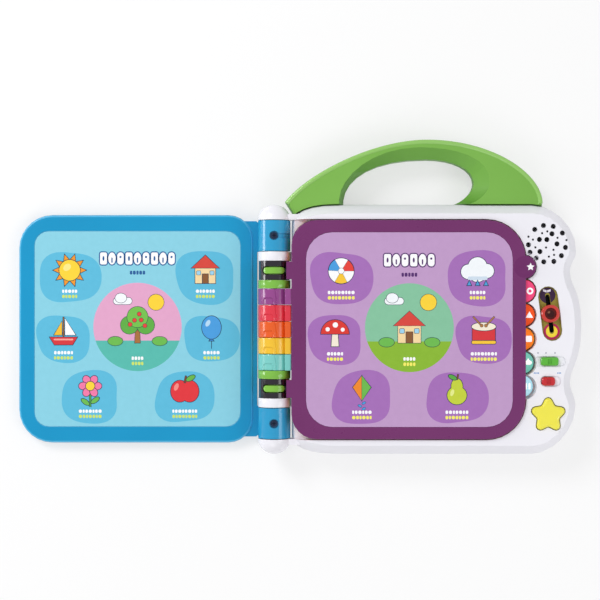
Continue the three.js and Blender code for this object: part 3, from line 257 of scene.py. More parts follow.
def moulded(name, code, rough=0.3, grain=900.0, bump=0.08, coat=0.0, spread=0.035, glow=0.0):
    """Injection-moulded plastic: faint flow marks in the colour, a fine satin grain and uneven gloss."""
    material, nodes, links, shader, place = start_material(name)
    flow = noise(nodes, links, place, 14.0, 4.0)
    tone = ramp(nodes, links, flow, colour(code, -spread), colour(code, spread * 0.7))
    links.new(tone, shader.inputs["Base Color"])
    gloss = noise(nodes, links, place, 60.0, 2.0)
    uneven_gloss(nodes, links, shader, gloss, rough * 0.96, min(rough * 1.05, 1.0))
    add_bump(nodes, links, shader, noise(nodes, links, place, grain, 2.0), bump, GRAIN_DEPTH)
    shader.inputs["Coat Weight"].default_value = coat
    shader.inputs["Coat Roughness"].default_value = 0.12
    shader.inputs["Specular IOR Level"].default_value = 0.4
    shader.inputs["IOR"].default_value = 1.48
    if glow:
        shader.inputs["Subsurface Weight"].default_value = glow
        shader.inputs["Subsurface Scale"].default_value = 0.006
        shader.inputs["Subsurface Radius"].default_value = (1.0, 0.9, 0.3)
    return material


def printed(name, code, rough=0.42):
    """Printed film: an even ink with the slightest mottle, and the soft tooth of the laminate over it."""
    material, nodes, links, shader, place = start_material(name)
    mottle = noise(nodes, links, place, 220.0, 5.0)
    tone = ramp(nodes, links, mottle, colour(code, -0.012), colour(code, 0.012))
    links.new(tone, shader.inputs["Base Color"])
    gloss = noise(nodes, links, place, 35.0, 2.0)
    uneven_gloss(nodes, links, shader, gloss, rough * 0.9, rough * 1.15)
    add_bump(nodes, links, shader, noise(nodes, links, place, 1500.0, 2.0), 0.05, TOOTH_DEPTH)
    shader.inputs["IOR"].default_value = 1.45
    shader.inputs["Specular IOR Level"].default_value = 0.25
    return material


def metal(name, code, rough=0.32):
    """Plated steel or a cell's jacket, a little dulled in places and finely pitted."""
    material, nodes, links, shader, place = start_material(name)
    dull = noise(nodes, links, place, 180.0, 4.0)
    tone = ramp(nodes, links, dull, colour(code, -0.15), colour(code, 0.05))
    links.new(tone, shader.inputs["Base Color"])
    uneven_gloss(nodes, links, shader, dull, rough * 0.8, rough * 1.3)
    add_bump(nodes, links, shader, noise(nodes, links, place, 1200.0, 1.0), 0.1, PITTING_DEPTH)
    shader.inputs["Metallic"].default_value = 1.0
    return material


def facing_up(nodes, links, normal):
    """How far a surface faces up: 1 for a level face."""
    split = nodes.new("ShaderNodeSeparateXYZ")
    links.new(normal, split.inputs["Vector"])
    return split.outputs["Z"]


def colour_mix(material, kind):
    """A mix node between the material's own tone and its shader."""
    nodes, links = material.node_tree.nodes, material.node_tree.links
    base = nodes["Principled BSDF"].inputs["Base Color"]
    mix = nodes.new("ShaderNodeMix")
    mix.data_type = "RGBA"
    mix.blend_type = kind
    links.new(base.links[0].from_socket, mix.inputs[COLOUR_A])
    links.new(mix.outputs[COLOUR_RESULT], base)
    return mix


def handle_plastic():
    """The handle's green, with painted shade: darker on the faces that slope, such as the flare round the
    grip, where less light falls.
    """
    material = moulded("handle_plastic", "7ab44b", 0.3, 1000.0, 0.06)
    nodes, links = material.node_tree.nodes, material.node_tree.links
    facing = nodes.new("ShaderNodeNewGeometry")
    level = facing_up(nodes, links, facing.outputs["Normal"])
    # Painted shade: a darker green multiplied in where the faces slope
    shade = ramp(nodes, links, level, (0.58, 0.7, 0.52, 1), (1, 1, 1, 1), 0.55, 0.985)
    mix = colour_mix(material, "MULTIPLY")
    mix.inputs["Factor"].default_value = 1.0
    links.new(shade, mix.inputs[COLOUR_B])
    return material


def cover_plastic():
    """The cover's blue, with a painted highlight: a lighter blue on the rim that slopes, where the rounded
    edge catches light.
    """
    material = moulded("cover_plastic", "0496ca", 0.3, 1000.0, 0.06)
    nodes, links = material.node_tree.nodes, material.node_tree.links
    facing = nodes.new("ShaderNodeTexCoord")
    level = facing_up(nodes, links, facing.outputs["Normal"])
    painted_rim_highlight = ramp(nodes, links, level, (0, 0, 0, 1), (0, 0, 0, 1), 0.3, 0.99)
    for place in (0.5, 0.95):
        painted_rim_highlight.node.color_ramp.elements.new(place).color = (1, 1, 1, 1)
    mix = colour_mix(material, "MIX")
    links.new(painted_rim_highlight, mix.inputs["Factor"])
    # The lighter blue of the painted highlight on the rim
    mix.inputs[COLOUR_B].default_value = colour("52bae4")
    return material


INKS = {}


def ink(code, glow=0.0):
    """The printed material of a colour, made once. A glow is painted light: emission that brightens print
    lying in the shade of a deep recess.
    """
    name = f"ink_{code}_{round(100 * glow)}"
    if name not in INKS:
        material = printed(name, code)
        shader = material.node_tree.nodes["Principled BSDF"]
        shader.inputs["Emission Color"].default_value = colour(code)
        shader.inputs["Emission Strength"].default_value = glow
        INKS[name] = material
    return INKS[name]


# The frame's nodes: each keeps its solid, with its edges eased and its facets smoothed
def dress(node, material):
    """A node in one material, smooth-shaded, with its doubled points joined."""
    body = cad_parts[node]
    mesh = body.data
    if mesh.has_custom_normals:
        mesh.attributes.remove(mesh.attributes["custom_normal"])
    for polygon in mesh.polygons:
        polygon.use_smooth = True
    mesh.materials.clear()
    mesh.materials.append(material)
    weld = body.modifiers.new("weld", "WELD")
    weld.merge_threshold = WELD_REACH
    return body


def ease(node, material, width):
    """For a moulded or cut solid: its flat faces are joined up and its edges rounded."""
    body = dress(node, material)
    flat = body.modifiers.new("flat_faces", "DECIMATE")
    flat.decimate_type = "DISSOLVE"
    flat.angle_limit = math.radians(1.5)
    if width:
        bevel = body.modifiers.new("eased_edges", "BEVEL")
        bevel.width = width
        bevel.segments = 2
        bevel.limit_method = "ANGLE"
        bevel.angle_limit = math.radians(32)
        bevel.use_clamp_overlap = True
    normals = body.modifiers.new("smooth_facets", "WEIGHTED_NORMAL")
    normals.mode = "FACE_AREA_WITH_ANGLE"
    normals.keep_sharp = False


def ease_round(node, material):
    """For a turned solid: its facets shade as one round face, and its edges stay crisp."""
    body = dress(node, material)
    split = body.modifiers.new("crisp_edges", "EDGE_SPLIT")
    split.split_angle = math.radians(33)
    split.use_edge_sharp = False


def case_looks(steel):
    white = moulded("white_plastic", "f1f0f7", 0.36, 1100.0, 0.06, spread=0.012)
    black = moulded("black_plastic", "1c1c20", 0.5)
    looks = {
        "rear_shell": white, "front_shell": white, "battery_door": white, "handle": handle_plastic(),
        "battery_door_screw": steel, "battery_contact_left": steel, "battery_contact_right": steel,
        "battery_1": metal("cell_jacket", "b48a4a"), "battery_2": metal("cell_jacket_two", "8f9aa6"),
        "main_board": moulded("board_lacquer", "2c6b3f", 0.35, 500.0, 0.15),
        "mode_switch": black, "volume_switch": black, "language_switch": black,
        "speaker_basket": steel, "speaker_cone": moulded("cone_paper", "2b2b30", 0.85, 400.0, 0.4),
        "bed_label": ink(TAB_COLOURS[PAGE_COUNT]),
    }
    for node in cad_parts:
        if node.startswith("case_screw"):
            looks[node] = steel
    return looks


def control_looks():
    return {
        "mode_plate": moulded("olive_plastic", "94862a", 0.4),
        "mode_knob": moulded("red_knob_plastic", "cc372e", 0.22, coat=0.4),
        "volume_slider": moulded("green_slider_plastic", "58b536", 0.25, coat=0.3),
        "language_slider": moulded("red_slider_plastic", "c8202a", 0.22, coat=0.4),
        "star_button": moulded("star_plastic", "f5ea4c", 0.3, coat=0.2, glow=0.25),
        "star_rubber_dome": moulded("dark_rubber", "2a2a2e", 0.75, 600.0, 0.2),
    }


def cover_looks():
    blue = moulded("blue_plastic", "0496ca", 0.3, 1000.0, 0.06)
    return {"cover_inner_panel": cover_plastic(), "cover_outer_panel": blue, "cover_label": ink(COVER_FIELD)}


def page_looks():
    looks = {}
    for place in range(PAGE_COUNT):
        name = f"page_{place + 1}"
        looks[name] = moulded(name + "_plastic", PAGE_BORDERS[place], 0.28, coat=0.12)
        looks[name + "_front_label"] = ink(PAGE_FIELDS[place])
        looks[name + "_back_label"] = ink(PAGE_FIELDS[place])
    return looks


def spine_looks(steel):
    parts = {
        "cover_collar": moulded("collar_plastic", "1f9bcd", 0.22, 900.0, 0.04, coat=0.5),
        "collar_screw": metal("blackened_steel", "3c4a66", 0.35),
        "green_bush": moulded("spine_green_plastic", "80c042", 0.25, 900.0, 0.05, coat=0.3),
        "dark_sleeve": moulded("dark_plastic", "1b1521", 0.12, 700.0, 0.03, coat=0.6),
    }
    looks = {f"{part}_{end}": material for part, material in parts.items() for end in ("top", "bottom")}
    looks["hinge_rod"] = steel
    return looks


def dress_frame():
    steel = metal("plated_steel", "c3c7cc")
    looks = {**case_looks(steel), **control_looks(), **cover_looks(), **page_looks()}
    for node, material in looks.items():
        ease(node, material, EDGES.get(node, 0 if node.endswith("label") else COMMON_EDGE))
    for node, material in spine_looks(steel).items():
        ease_round(node, material)


# Finer pieces for the spine and the handle
def finish_piece(name, body, material, vertices, faces, sharp=30):
    """A smooth-shaded piece from points in millimetres round the spine's axis."""
    places = [(SPINE_X + x * MM, SPINE_Y + y * MM, SPINE_Z + z * MM) for x, y, z in vertices]
    mesh = bpy.data.meshes.new(name)
    mesh.from_pydata(places, [], faces)
    mesh.materials.append(material)
    mesh.polygons.foreach_set("use_smooth", [True] * len(mesh.polygons))
    mesh.set_sharp_from_angle(angle=math.radians(sharp))
    mesh.update()
    piece = bpy.data.objects.new(name, mesh)
    bpy.context.scene.collection.objects.link(piece)
    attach(piece, body)
    return piece


def turn_round(profile, sides, relief=None):
    """Vertices and faces of a closed profile of (radius, y) turned about the spine's axis.

    The relief says how far the upper half is pressed in at (x, y).
    """
    vertices = []
    for radius, y in profile:
        for i in range(sides):
            a = 2 * math.pi * i / sides
            pressed = relief(radius * math.cos(a), y) if relief and math.sin(a) > 0 else 0
            r = radius - pressed
            vertices.append((r * math.cos(a), y, r * math.sin(a)))
    faces = []
    levels = len(profile)
    for k in range(levels):
        for i in range(sides):
            j = (i + 1) % sides
            m = (k + 1) % levels
            faces.append((k * sides + i, m * sides + i, m * sides + j, k * sides + j))
    return vertices, faces


def ring_profile(y0, y1, rounding):
    radius = SPINE_RADIUS + PROUD
    inner = radius - RING_WALL
    part = 0.3 * rounding
    return [(inner, y0), (radius - rounding, y0), (radius - part, y0 + part), (radius, y0 + rounding),
            (radius, y1 - rounding), (radius - part, y1 - part), (radius - rounding, y1), (inner, y1)]


def dome_profile(steps=24):
    """The dome's wall, from its foot to the tip and back on the inside."""
    foot = HALF_HEIGHT - DOME_LENGTH
    turns = [math.pi / 2 * k / steps for k in range(steps)]
    outer = [((SPINE_RADIUS + PROUD) * math.cos(t), foot + DOME_LENGTH * math.sin(t) - TIP_ROOM)
             for t in turns]
    inner = [((SPINE_RADIUS - DOME_WALL) * math.cos(t), foot + (DOME_LENGTH - DOME_WALL) * math.sin(t))
             for t in reversed(turns)]
    return outer + inner


def spine_ends():
    """The domes, the white rings and the green rings, as one side of the spine and its mirror image."""
    white = moulded("spine_white_plastic", "f0eff6", 0.24, 900.0, 0.04, coat=0.35, spread=0.012)
    green = moulded("green_ring_plastic", "7cbd42", 0.2, 900.0, 0.04, coat=0.5)
    parts = {"dome": (dome_profile(), white, "white_case"),
             "white_ring": (ring_profile(*WHITE_RING, WHITE_RING_EASE), white, "white_case"),
             "green_ring": (ring_profile(*GREEN_RING, GREEN_RING_EASE), green, "green_spine")}
    for end, sign in (("top", 1), ("bottom", -1)):
        for name, (profile, material, slot) in parts.items():
            vertices, faces = turn_round([(r, sign * y) for r, y in profile], 96)
            if sign < 0:
                faces = [face[::-1] for face in faces]
            finish_piece(f"{name}_{end}", "case", material, vertices, faces)


def smooth_step(low, high, value):
    t = min(max((value - low) / (high - low), 0), 1)
    return t * t * (3 - 2 * t)


def knuckle_relief(y0, y1):
    """How far a knuckle is pressed in at (x, y): a finger dent at its lower end and a leaning seam."""
    middle_x = (DENT_LEFT + DENT_RIGHT) / 2
    middle_y = y0 + (DENT_TOP + DENT_FOOT) / 2
    half_x = (DENT_RIGHT - DENT_LEFT) / 2 - DENT_CORNER
    half_y = (DENT_TOP - DENT_FOOT) / 2 - DENT_CORNER

    def pressed(x, y):
        dx = abs(x - middle_x) - half_x
        dy = abs(y - middle_y) - half_y
        away = math.hypot(max(dx, 0), max(dy, 0)) + min(max(dx, dy), 0) - DENT_CORNER
        dent = DENT_DEPTH * (1 - smooth_step(-0.3, 0.2, away))
        seam_x = SEAM_X - SEAM_LEAN * smooth_step(y0 + SEAM_LEAN_START, y1, y)
        return dent + SEAM_DEPTH * (1 - smooth_step(0.1, 0.45, abs(x - seam_x)))

    return pressed


def knuckle_profile(y0, y1, steps=30):
    start, end = y0 + KNUCKLE_FLAT_START, y1 - KNUCKLE_FLAT_START
    profile = [(BORE_RADIUS, y0)]
    profile += [(SPINE_RADIUS - inward, y0 + along) for inward, along in KNUCKLE_EASE]
    profile += [(SPINE_RADIUS + PROUD, start + (end - start) * k / steps) for k in range(steps + 1)]
    profile += [(SPINE_RADIUS - inward, y1 - along) for inward, along in reversed(KNUCKLE_EASE)]
    return profile + [(BORE_RADIUS, y1)]


def riser(name, body, material, y0, y1, top):
    """The block that carries a page from its knuckle."""
    x0, x1 = RISER_LEFT, RISER_RIGHT
    outline = ((x0, y0), (x1, y0), (x1, y1), (x0, y1))
    corners = [(x, y, z) for z in (top - RISER_HEIGHT, top) for x, y in outline]
    sides = [(3, 2, 1, 0), (4, 5, 6, 7), (0, 1, 5, 4), (1, 2, 6, 5), (2, 3, 7, 6), (3, 0, 4, 7)]
    block = finish_piece(name, body, material, corners, sides)
    bevel = block.modifiers.new("eased_edges", "BEVEL")
    bevel.width = 0.0004
    bevel.segments = 3


def knuckles():
    slots = ["page_purple", "page_red", "page_orange", "page_yellow", "page_teal"]
    for place, slot in enumerate(slots):
        node, body = f"page_{place + 1}_knuckle", f"leaf_{place + 1}"
        low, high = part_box(node)
        y0, y1 = (low.y - SPINE_Y) / MM, (high.y - SPINE_Y) / MM
        material = moulded(f"knuckle_{place + 1}_plastic", PAGE_KNUCKLES[place], 0.2, 900.0, 0.04, coat=0.5)
        vertices, faces = turn_round(knuckle_profile(y0, y1), 220, knuckle_relief(y0, y1))
        piece = finish_piece(node + "_fine", body, material, vertices, faces)
        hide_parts(node)
        riser(node + "_riser", body, material, y0, y1, (high.z - SPINE_Z) / MM)


def bezier(a, b, c, d, count):
    """Points of a cubic curve from a up to, but not including, d."""
    points = []
    for k in range(count):
        t = k / count
        shares = ((1 - t) ** 3, 3 * (1 - t) ** 2 * t, 3 * (1 - t) * t ** 2, t ** 3)
        points.append(tuple(sum(share * p[i] for share, p in zip(shares, (a, b, c, d))) for i in (0, 1)))
    return points


def handle_bead(sides=12):
    """The raised bead along the handle's outer edge, in a lighter green than the handle: a painted highlight
    on the rounded rim.
    """
    path = bezier(*HANDLE_EDGE[0:4], 40) + bezier(*HANDLE_EDGE[3:7], 40) + [HANDLE_EDGE[6]]
    middle_z = HANDLE_FACE_Z - BEAD_SINK - SPINE_Z / MM
    vertices, faces = [], []
    for k, here in enumerate(path):
        before, after = path[max(k - 1, 0)], path[min(k + 1, len(path) - 1)]
        along = Vector((after[0] - before[0], after[1] - before[1])).normalized()
        inward = Vector((-along.y, along.x))
        for i in range(sides):
            a = 2 * math.pi * i / sides
            across = BEAD_INSET + BEAD_HALF_WIDTH * math.cos(a)
            vertices.append((here[0] + inward.x * across, here[1] + inward.y * across,
                             middle_z + BEAD_HALF_HEIGHT * math.sin(a)))
    for k in range(len(path) - 1):
        for i in range(sides):
            j = (i + 1) % sides
            faces.append((k * sides + i, k * sides + j, (k + 1) * sides + j, (k + 1) * sides + i))
    last = (len(path) - 1) * sides
    faces += [tuple(range(sides - 1, -1, -1)), tuple(range(last, last + sides))]
    # A lighter green than the handle's: painted highlight along the rim
    material = moulded("handle_bead_highlight_plastic", "93c966", 0.22, 900.0, 0.04, coat=0.4)
    finish_piece("handle_bead", "case", material, vertices, faces, 60)


# Outlines for the print, as lists of (x, y) in millimetres
def oval(x, y, rx, ry=None, turn=0.0, sides=None):
    """An ellipse, or a circle where one radius is given, with more points the larger it is."""
    ry = rx if ry is None else ry
    sides = sides or max(12, min(56, int(10 + 3 * max(rx, ry))))
    points = []
    for i in range(sides):
        a = 2 * math.pi * i / sides
        u, v = rx * math.cos(a), ry * math.sin(a)
        points.append((x + u * math.cos(turn) - v * math.sin(turn),
                       y + u * math.sin(turn) + v * math.cos(turn)))
    return points


def bar(x, y, width, height, radius=None, steps=4):
    """A rectangle with rounded corners, or with round ends where no radius is given."""
    radius = min(width, height) / 2 if radius is None else radius
    points = []
    for sx, sy, start in ((1, -1, -0.5), (1, 1, 0.0), (-1, 1, 0.5), (-1, -1, 1.0)):
        for k in range(steps + 1):
            a = math.pi * (start + 0.5 * k / steps)
            points.append((x + sx * (width / 2 - radius) + radius * math.cos(a),
                           y + sy * (height / 2 - radius) + radius * math.sin(a)))
    return points


def star(x, y, radius, count=5):
    points = []
    for k in range(2 * count):
        r = radius if k % 2 == 0 else radius / 2
        a = math.pi / 2 + math.pi * k / count
        points.append((x + r * math.cos(a), y + r * math.sin(a)))
    return points


def pebble(x, y, rx, ry, phase, sides=56):
    """A soft uneven patch: an oval swollen towards its corners by two slow waves."""
    points = []
    for i in range(sides):
        a = 2 * math.pi * i / sides
        r = 1 + 0.05 * math.cos(2 * a + phase) + 0.035 * math.cos(3 * a - phase) - 0.045 * math.cos(4 * a)
        points.append((x + rx * r * math.cos(a), y + ry * r * math.sin(a)))
    return points


def arch(x, y, outer, inner, sides=18):
    """Half a ring, open downwards."""
    turns = [math.pi * i / sides for i in range(sides + 1)]
    upper = [(x + outer * math.cos(a), y + outer * math.sin(a)) for a in turns]
    lower = [(x + inner * math.cos(a), y + inner * math.sin(a)) for a in reversed(turns)]
    return upper + lower


def slotted(x, y, radius, turn, sides=40):
    """A disc with a slot open toward the angle turn, clear of the stem that slides in from there."""
    half = MODE_SLOT_HALF
    edge = math.asin(half / radius)
    span = 2 * math.pi - 2 * edge
    points = [(radius, edge + span * k / sides) for k in range(sides + 1)]
    points += [(half, -math.pi / 2 - math.pi * k / 12) for k in range(13)]
    return [(x + r * math.cos(a + turn), y + r * math.sin(a + turn)) for r, a in points]


def grown(points, distance):
    """The outline moved outwards, with its corners kept."""
    count = len(points)
    out = []
    for i in range(count):
        here = Vector(points[i])
        before = (here - Vector(points[i - 1])).normalized()
        after = (Vector(points[(i + 1) % count]) - here).normalized()
        normal = Vector((before.y + after.y, -before.x - after.x))
        out.append(tuple(here + normal * (distance / max(1 + before.dot(after), 0.35))))
    return out


class Print:
    """The printed shapes on one flat face.

    Each is a thin closed sheet. A shape lies over the earlier ones, unless it is given a level of its own.
    """

    STEP = 0.0035
    INK_WIDTH = 0.38

    def __init__(self, name, body, slot, x, y, z, upward=True):
        self.name, self.body, self.slot = name, body, slot
        self.x, self.y, self.z = x, y, z
        self.way = 1 if upward else -1
        self.level = 2
        self.place = (0.0, 0.0, 1.0)
        self.glow = 0.0
        self.vertices, self.faces, self.face_inks, self.codes = [], [], [], []

    def shape(self, code, points, level=None):
        if code not in self.codes:
            self.codes.append(code)
        if level is None:
            self.level += 1
            level = self.level
        left, low, size = self.place
        across = self.x + left
        up = self.y + low
        points = [(SPINE_X + (across + size * u) * MM, SPINE_Y + (up + size * v) * MM) for u, v in points]
        first, count = len(self.vertices), len(points)
        for z in (self.z, self.z + self.way * level * self.STEP):
            self.vertices += [(x, y, z * MM) for x, y in points]
        faces = [list(range(first + count, first + 2 * count)), list(range(first + count - 1, first - 1, -1))]
        for i in range(count):
            j = (i + 1) % count
            faces.append([first + i, first + j, first + count + j, first + count + i])
        if self.way < 0:
            faces = [face[::-1] for face in faces]
        self.faces += faces
        self.face_inks += [self.codes.index(code)] * len(faces)

    def inked(self, code, points, width=INK_WIDTH):
        """A shape with a dark line round it."""
        self.shape(INK, grown(points, width))
        self.shape(code, points)

    def finish(self):
        mesh = bpy.data.meshes.new(self.name)
        mesh.from_pydata(self.vertices, [], self.faces)
        for code in self.codes:
            mesh.materials.append(ink(code, self.glow))
        mesh.polygons.foreach_set("material_index", self.face_inks)
        mesh.update()
        piece = bpy.data.objects.new(self.name, mesh)
        bpy.context.scene.collection.objects.link(piece)
        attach(piece, self.body)


# Motifs for the print, each about 20 mm across round (x, y)
def draw_sun(p, x, y):
    for k in range(10):
        a = 2 * math.pi * k / 10
        tip = (x + 10 * math.cos(a), y + 10 * math.sin(a))
        left, right = a - 0.256, a + 0.256
        p.inked("f59a2c", [(x + 6.6 * math.cos(left), y + 6.6 * math.sin(left)), tip,
                           (x + 6.6 * math.cos(right), y + 6.6 * math.sin(right))])
    p.inked(SUN_YELLOW, oval(x, y, 6.4))
    p.shape("fde88a", oval(x - 1.6, y + 1.8, 2.6, 2.0, 0.7))


def draw_cloud(p, x, y):
    parts = [(-5.5, -0.5, 4.4), (0, 2.6, 5.6), (5.6, 0, 4.2), (0, -1.6, 5.0)]
    for u, v, r in parts:
        p.shape(INK, oval(x + u, y + v, r + 0.4))
    for u, v, r in parts:
        p.shape(CLOUD_WHITE, oval(x + u, y + v, r))
    p.shape("cfdfee", bar(x, y - 4.4, 12, 2.2))
    for k in (-1, 0, 1):
        p.inked("4f9fd8", [(x + 5 * k - 1.2, y - 8.6), (x + 5 * k + 1.2, y - 8.6), (x + 5 * k, y - 5.9)])


def draw_tree(p, x, y):
    p.inked(TRUNK_BROWN, [(x - 1.5, y - 9.6), (x + 1.5, y - 9.6), (x + 1.0, y - 1), (x - 1.0, y - 1)])
    for u, v, r, code in ((-4, 0.5, 4.6, CROWN_GREEN), (4, 0.5, 4.6, CROWN_GREEN), (0, 5, 5.6, CROWN_LIGHT)):
        p.inked(code, oval(x + u, y + v, r))
    for u, v in ((-3.5, 1), (3.6, 0), (0.6, 6.5), (-1.2, 3.2)):
        p.inked(BERRY_RED, oval(x + u, y + v, 1.1), 0.2)


def draw_flower(p, x, y):
    p.inked("4f9e46", [(x - 0.5, y - 10), (x + 0.5, y - 10), (x + 0.5, y - 2), (x - 0.5, y - 2)], 0.25)
    p.inked(LEAF_GREEN, oval(x - 3, y - 7.2, 2.9, 1.3, 2.5))
    p.inked(LEAF_GREEN, oval(x + 3, y - 6.2, 2.9, 1.3, 0.6))
    for k in range(6):
        a = math.pi * k / 3
        p.inked("f27aa8", oval(x + 4.3 * math.cos(a), y + 2.6 + 4.3 * math.sin(a), 2.7, 2.2, a))
    p.inked(SUN_YELLOW, oval(x, y + 2.6, 2.7))


def draw_apple(p, x, y):
    p.shape(INK, oval(x - 3, y - 0.6, 6.0, 7.0))
    p.shape(INK, oval(x + 3, y - 0.6, 6.0, 7.0))
    p.shape(APPLE_RED, oval(x - 3, y - 0.6, 5.6, 6.6))
    p.shape(APPLE_RED, oval(x + 3, y - 0.6, 5.6, 6.6))
    stalk = [(x - 0.5, y + 4.6), (x + 0.5, y + 4.6), (x + 1.2, y + 8.6), (x + 0.3, y + 8.8)]
    p.inked(STALK_BROWN, stalk, 0.25)
    p.inked("68b64a", oval(x + 3.6, y + 7.4, 3.0, 1.4, 0.5))
    p.shape("f58d86", oval(x - 5.2, y + 2, 1.3, 2.4, -0.4))


def draw_balloon(p, x, y):
    p.shape(INK, [(x - 0.2, y - 10.5), (x + 0.2, y - 10.5), (x + 0.25, y - 3.5), (x - 0.25, y - 3.5)])
    p.inked("3f8ad0", [(x - 1.3, y - 5.6), (x + 1.3, y - 5.6), (x, y - 3.6)])
    p.inked(BALL_BLUE, oval(x, y + 2.6, 5.9, 7.0))
    p.shape("b8dcf6", oval(x - 2.2, y + 5.2, 1.3, 2.2, -0.5))


def draw_boat(p, x, y):
    p.inked(WOOD_BROWN, [(x - 0.4, y - 3), (x + 0.4, y - 3), (x + 0.4, y + 9), (x - 0.4, y + 9)], 0.2)
    p.inked(WHITE, [(x + 1.0, y - 2), (x + 7.4, y - 2), (x + 1.0, y + 8)])
    p.inked("f2c03a", [(x - 1.0, y - 2), (x - 1.0, y + 6.4), (x - 5.8, y - 2)])
    p.inked(HULL_RED, [(x - 8.4, y - 3.4), (x - 5.6, y - 8), (x + 5.6, y - 8), (x + 8.4, y - 3.4)])
    p.shape("f6a49a", bar(x, y - 4.8, 12, 1.0))


def draw_house(p, x, y):
    p.inked(WALL_CREAM, [(x - 6.2, y - 8), (x + 6.2, y - 8), (x + 6.2, y + 1.6), (x - 6.2, y + 1.6)])
    p.inked(ROOF_RED, [(x - 8.4, y + 1.4), (x + 8.4, y + 1.4), (x, y + 9.2)])
    p.inked(WOOD_BROWN, [(x - 1.7, y - 8), (x + 1.7, y - 8), (x + 1.7, y - 2.4), (x - 1.7, y - 2.4)])
    p.inked(WINDOW_BLUE, bar(x - 4.1, y - 1.6, 2.3, 2.3, 0.3), 0.25)
    p.inked(WINDOW_BLUE, bar(x + 4.1, y - 1.6, 2.3, 2.3, 0.3), 0.25)


def draw_ball(p, x, y):
    p.inked(WHITE, oval(x, y, 7.6))
    for k, code in enumerate((BERRY_RED, BALL_BLUE, GOLD)):
        a = 2 * math.pi * k / 3
        turns = [a + t / 7 for t in range(8)]
        wedge = [(x, y)] + [(x + 7.5 * math.cos(t), y + 7.5 * math.sin(t)) for t in turns]
        p.inked(code, wedge, 0.15)
    p.inked(WHITE, oval(x, y, 1.7), 0.2)


def draw_mushroom(p, x, y):
    p.inked("f4ead8", [(x - 2.2, y - 8.4), (x + 2.2, y - 8.4), (x + 1.6, y), (x - 1.6, y)])
    p.inked("dc3b34", arch(x, y - 1, 8.4, 0.2))
    for u, v, r in ((-4.4, 1.8, 1.3), (0.2, 4.4, 1.6), (4.6, 1.6, 1.2)):
        p.shape(WHITE, oval(x + u, y + v, r))


def draw_kite(p, x, y):
    p.inked("f08a2c", [(x, y + 9), (x - 5.4, y + 2), (x, y - 6)])
    p.inked("6cb84e", [(x, y + 9), (x, y - 6), (x + 5.4, y + 2)])
    for k, side in enumerate((1, -1, 1)):
        p.inked(BALL_BLUE, oval(x + 1.2 * side, y - 7.4 - 1.7 * k, 1.2, 0.6, 0.5 * side), 0.2)


def draw_pear(p, x, y):
    p.shape(INK, oval(x, y - 2.8, 6.2, 5.8))
    p.shape(INK, oval(x, y + 2.6, 3.8, 5.0))
    p.shape(PEAR_GREEN, oval(x, y - 2.8, 5.8, 5.4))
    p.shape(PEAR_GREEN, oval(x, y + 2.6, 3.4, 4.6))
    stalk = [(x - 0.4, y + 6.6), (x + 0.5, y + 6.6), (x + 1.1, y + 9.6), (x + 0.3, y + 9.8)]
    p.inked(STALK_BROWN, stalk, 0.2)
    p.inked("5aa846", oval(x - 2.6, y + 8, 2.6, 1.2, 2.7))
    p.shape("e6ee8e", oval(x - 2.8, y - 1.2, 1.1, 2.1, -0.3))


def draw_drum(p, x, y):
    p.inked(HULL_RED, [(x - 6.8, y - 6), (x + 6.8, y - 6), (x + 6.8, y + 3), (x - 6.8, y + 3)])
    p.inked(GOLD, bar(x, y - 6, 14.4, 1.8))
    p.inked("f6ecd6", oval(x, y + 3.4, 7.2, 2.4))
    for side in (-1, 1):
        p.inked(STICK_BROWN, [(x + side * 1, y + 4.2), (x + side * 1.7, y + 3.8), (x + side * 6.6, y + 9),
                           (x + side * 6, y + 9.5)][::side], 0.2)
        p.inked(STICK_BROWN, oval(x + side * 1.3, y + 4, 0.9), 0.2)


def draw_snail_shell(p, x, y):
    for r, code in ((7.4, "f0a050"), (5.4, "f8c47c"), (3.4, "f0a050"), (1.5, "f8c47c")):
        p.inked(code, oval(x + (7.4 - r) * 0.3, y - (7.4 - r) * 0.2, r), 0.3)


MOTIFS = [draw_sun, draw_boat, draw_flower, draw_apple, draw_balloon, draw_house, draw_tree, draw_ball,
          draw_mushroom, draw_kite, draw_pear, draw_drum, draw_cloud, draw_snail_shell]

# Where a spread's patches lie, as shares of its half width and half height, with their sizes
PATCHES = [(-0.66, 0.53, 1.0), (-0.72, -0.1, 0.9), (-0.46, -0.7, 0.98), (0.46, -0.7, 0.98), (0.72, -0.1, 0.9),
           (0.66, 0.53, 1.0)]


def draw_dashes(p, x, y, widths, height, code, gap=0.55, level=3):
    """A caption's place: a row of short rounded marks that spell nothing."""
    total = sum(widths) + gap * (len(widths) - 1)
    left = x - total / 2
    for width in widths:
        p.shape(code, bar(left + width / 2, y, width, height, 0.42 * min(width, height), 3), level)
        left += width + gap


def draw_caption(p, x, rows, widths, height, code, level=3):
    """Two rows of marks, the upper one white and the lower one in the caption's ink."""
    upper, lower = rows
    draw_dashes(p, x, upper, widths, height, WHITE, level=level)
    draw_dashes(p, x, lower, widths[::-1], height, code, level=level)


def draw_title(p, x, y, count, accent):
    """The title's place: a row of plain white tiles, each with a dark edge and a small mark."""
    for k in range(count):
        u = x + (k - (count - 1) / 2) * TILE_PITCH
        tiles = [bar(u, y, 5.6, TILE_HEIGHT, 1.4), oval(u, y, 3.0, TILE_HEIGHT / 2),
                 bar(u, y, 5.2, TILE_HEIGHT, 2.4)]
        marks = [oval(u, y, 0.8, 2.0), bar(u, y - 1.4, 1.1, 4.2), oval(u, y + 1.2, 0.9)]
        tile, mark = tiles[k % 3], marks[k % 3]
        p.shape(accent, grown(tile, TILE_EDGE), 4)
        p.shape(WHITE, tile, 6)
        p.shape(accent, mark, 7)


def draw_disc(p, y, radius, sky, ground):
    """The disc behind the big motif, its lower part as ground."""
    p.shape(sky, oval(0, y, radius, sides=72), 2)
    turns = [math.radians(GROUND_START + GROUND_SPAN * i / 30) for i in range(31)]
    p.shape(ground, [(radius * math.cos(a), y + radius * math.sin(a)) for a in turns], 3)


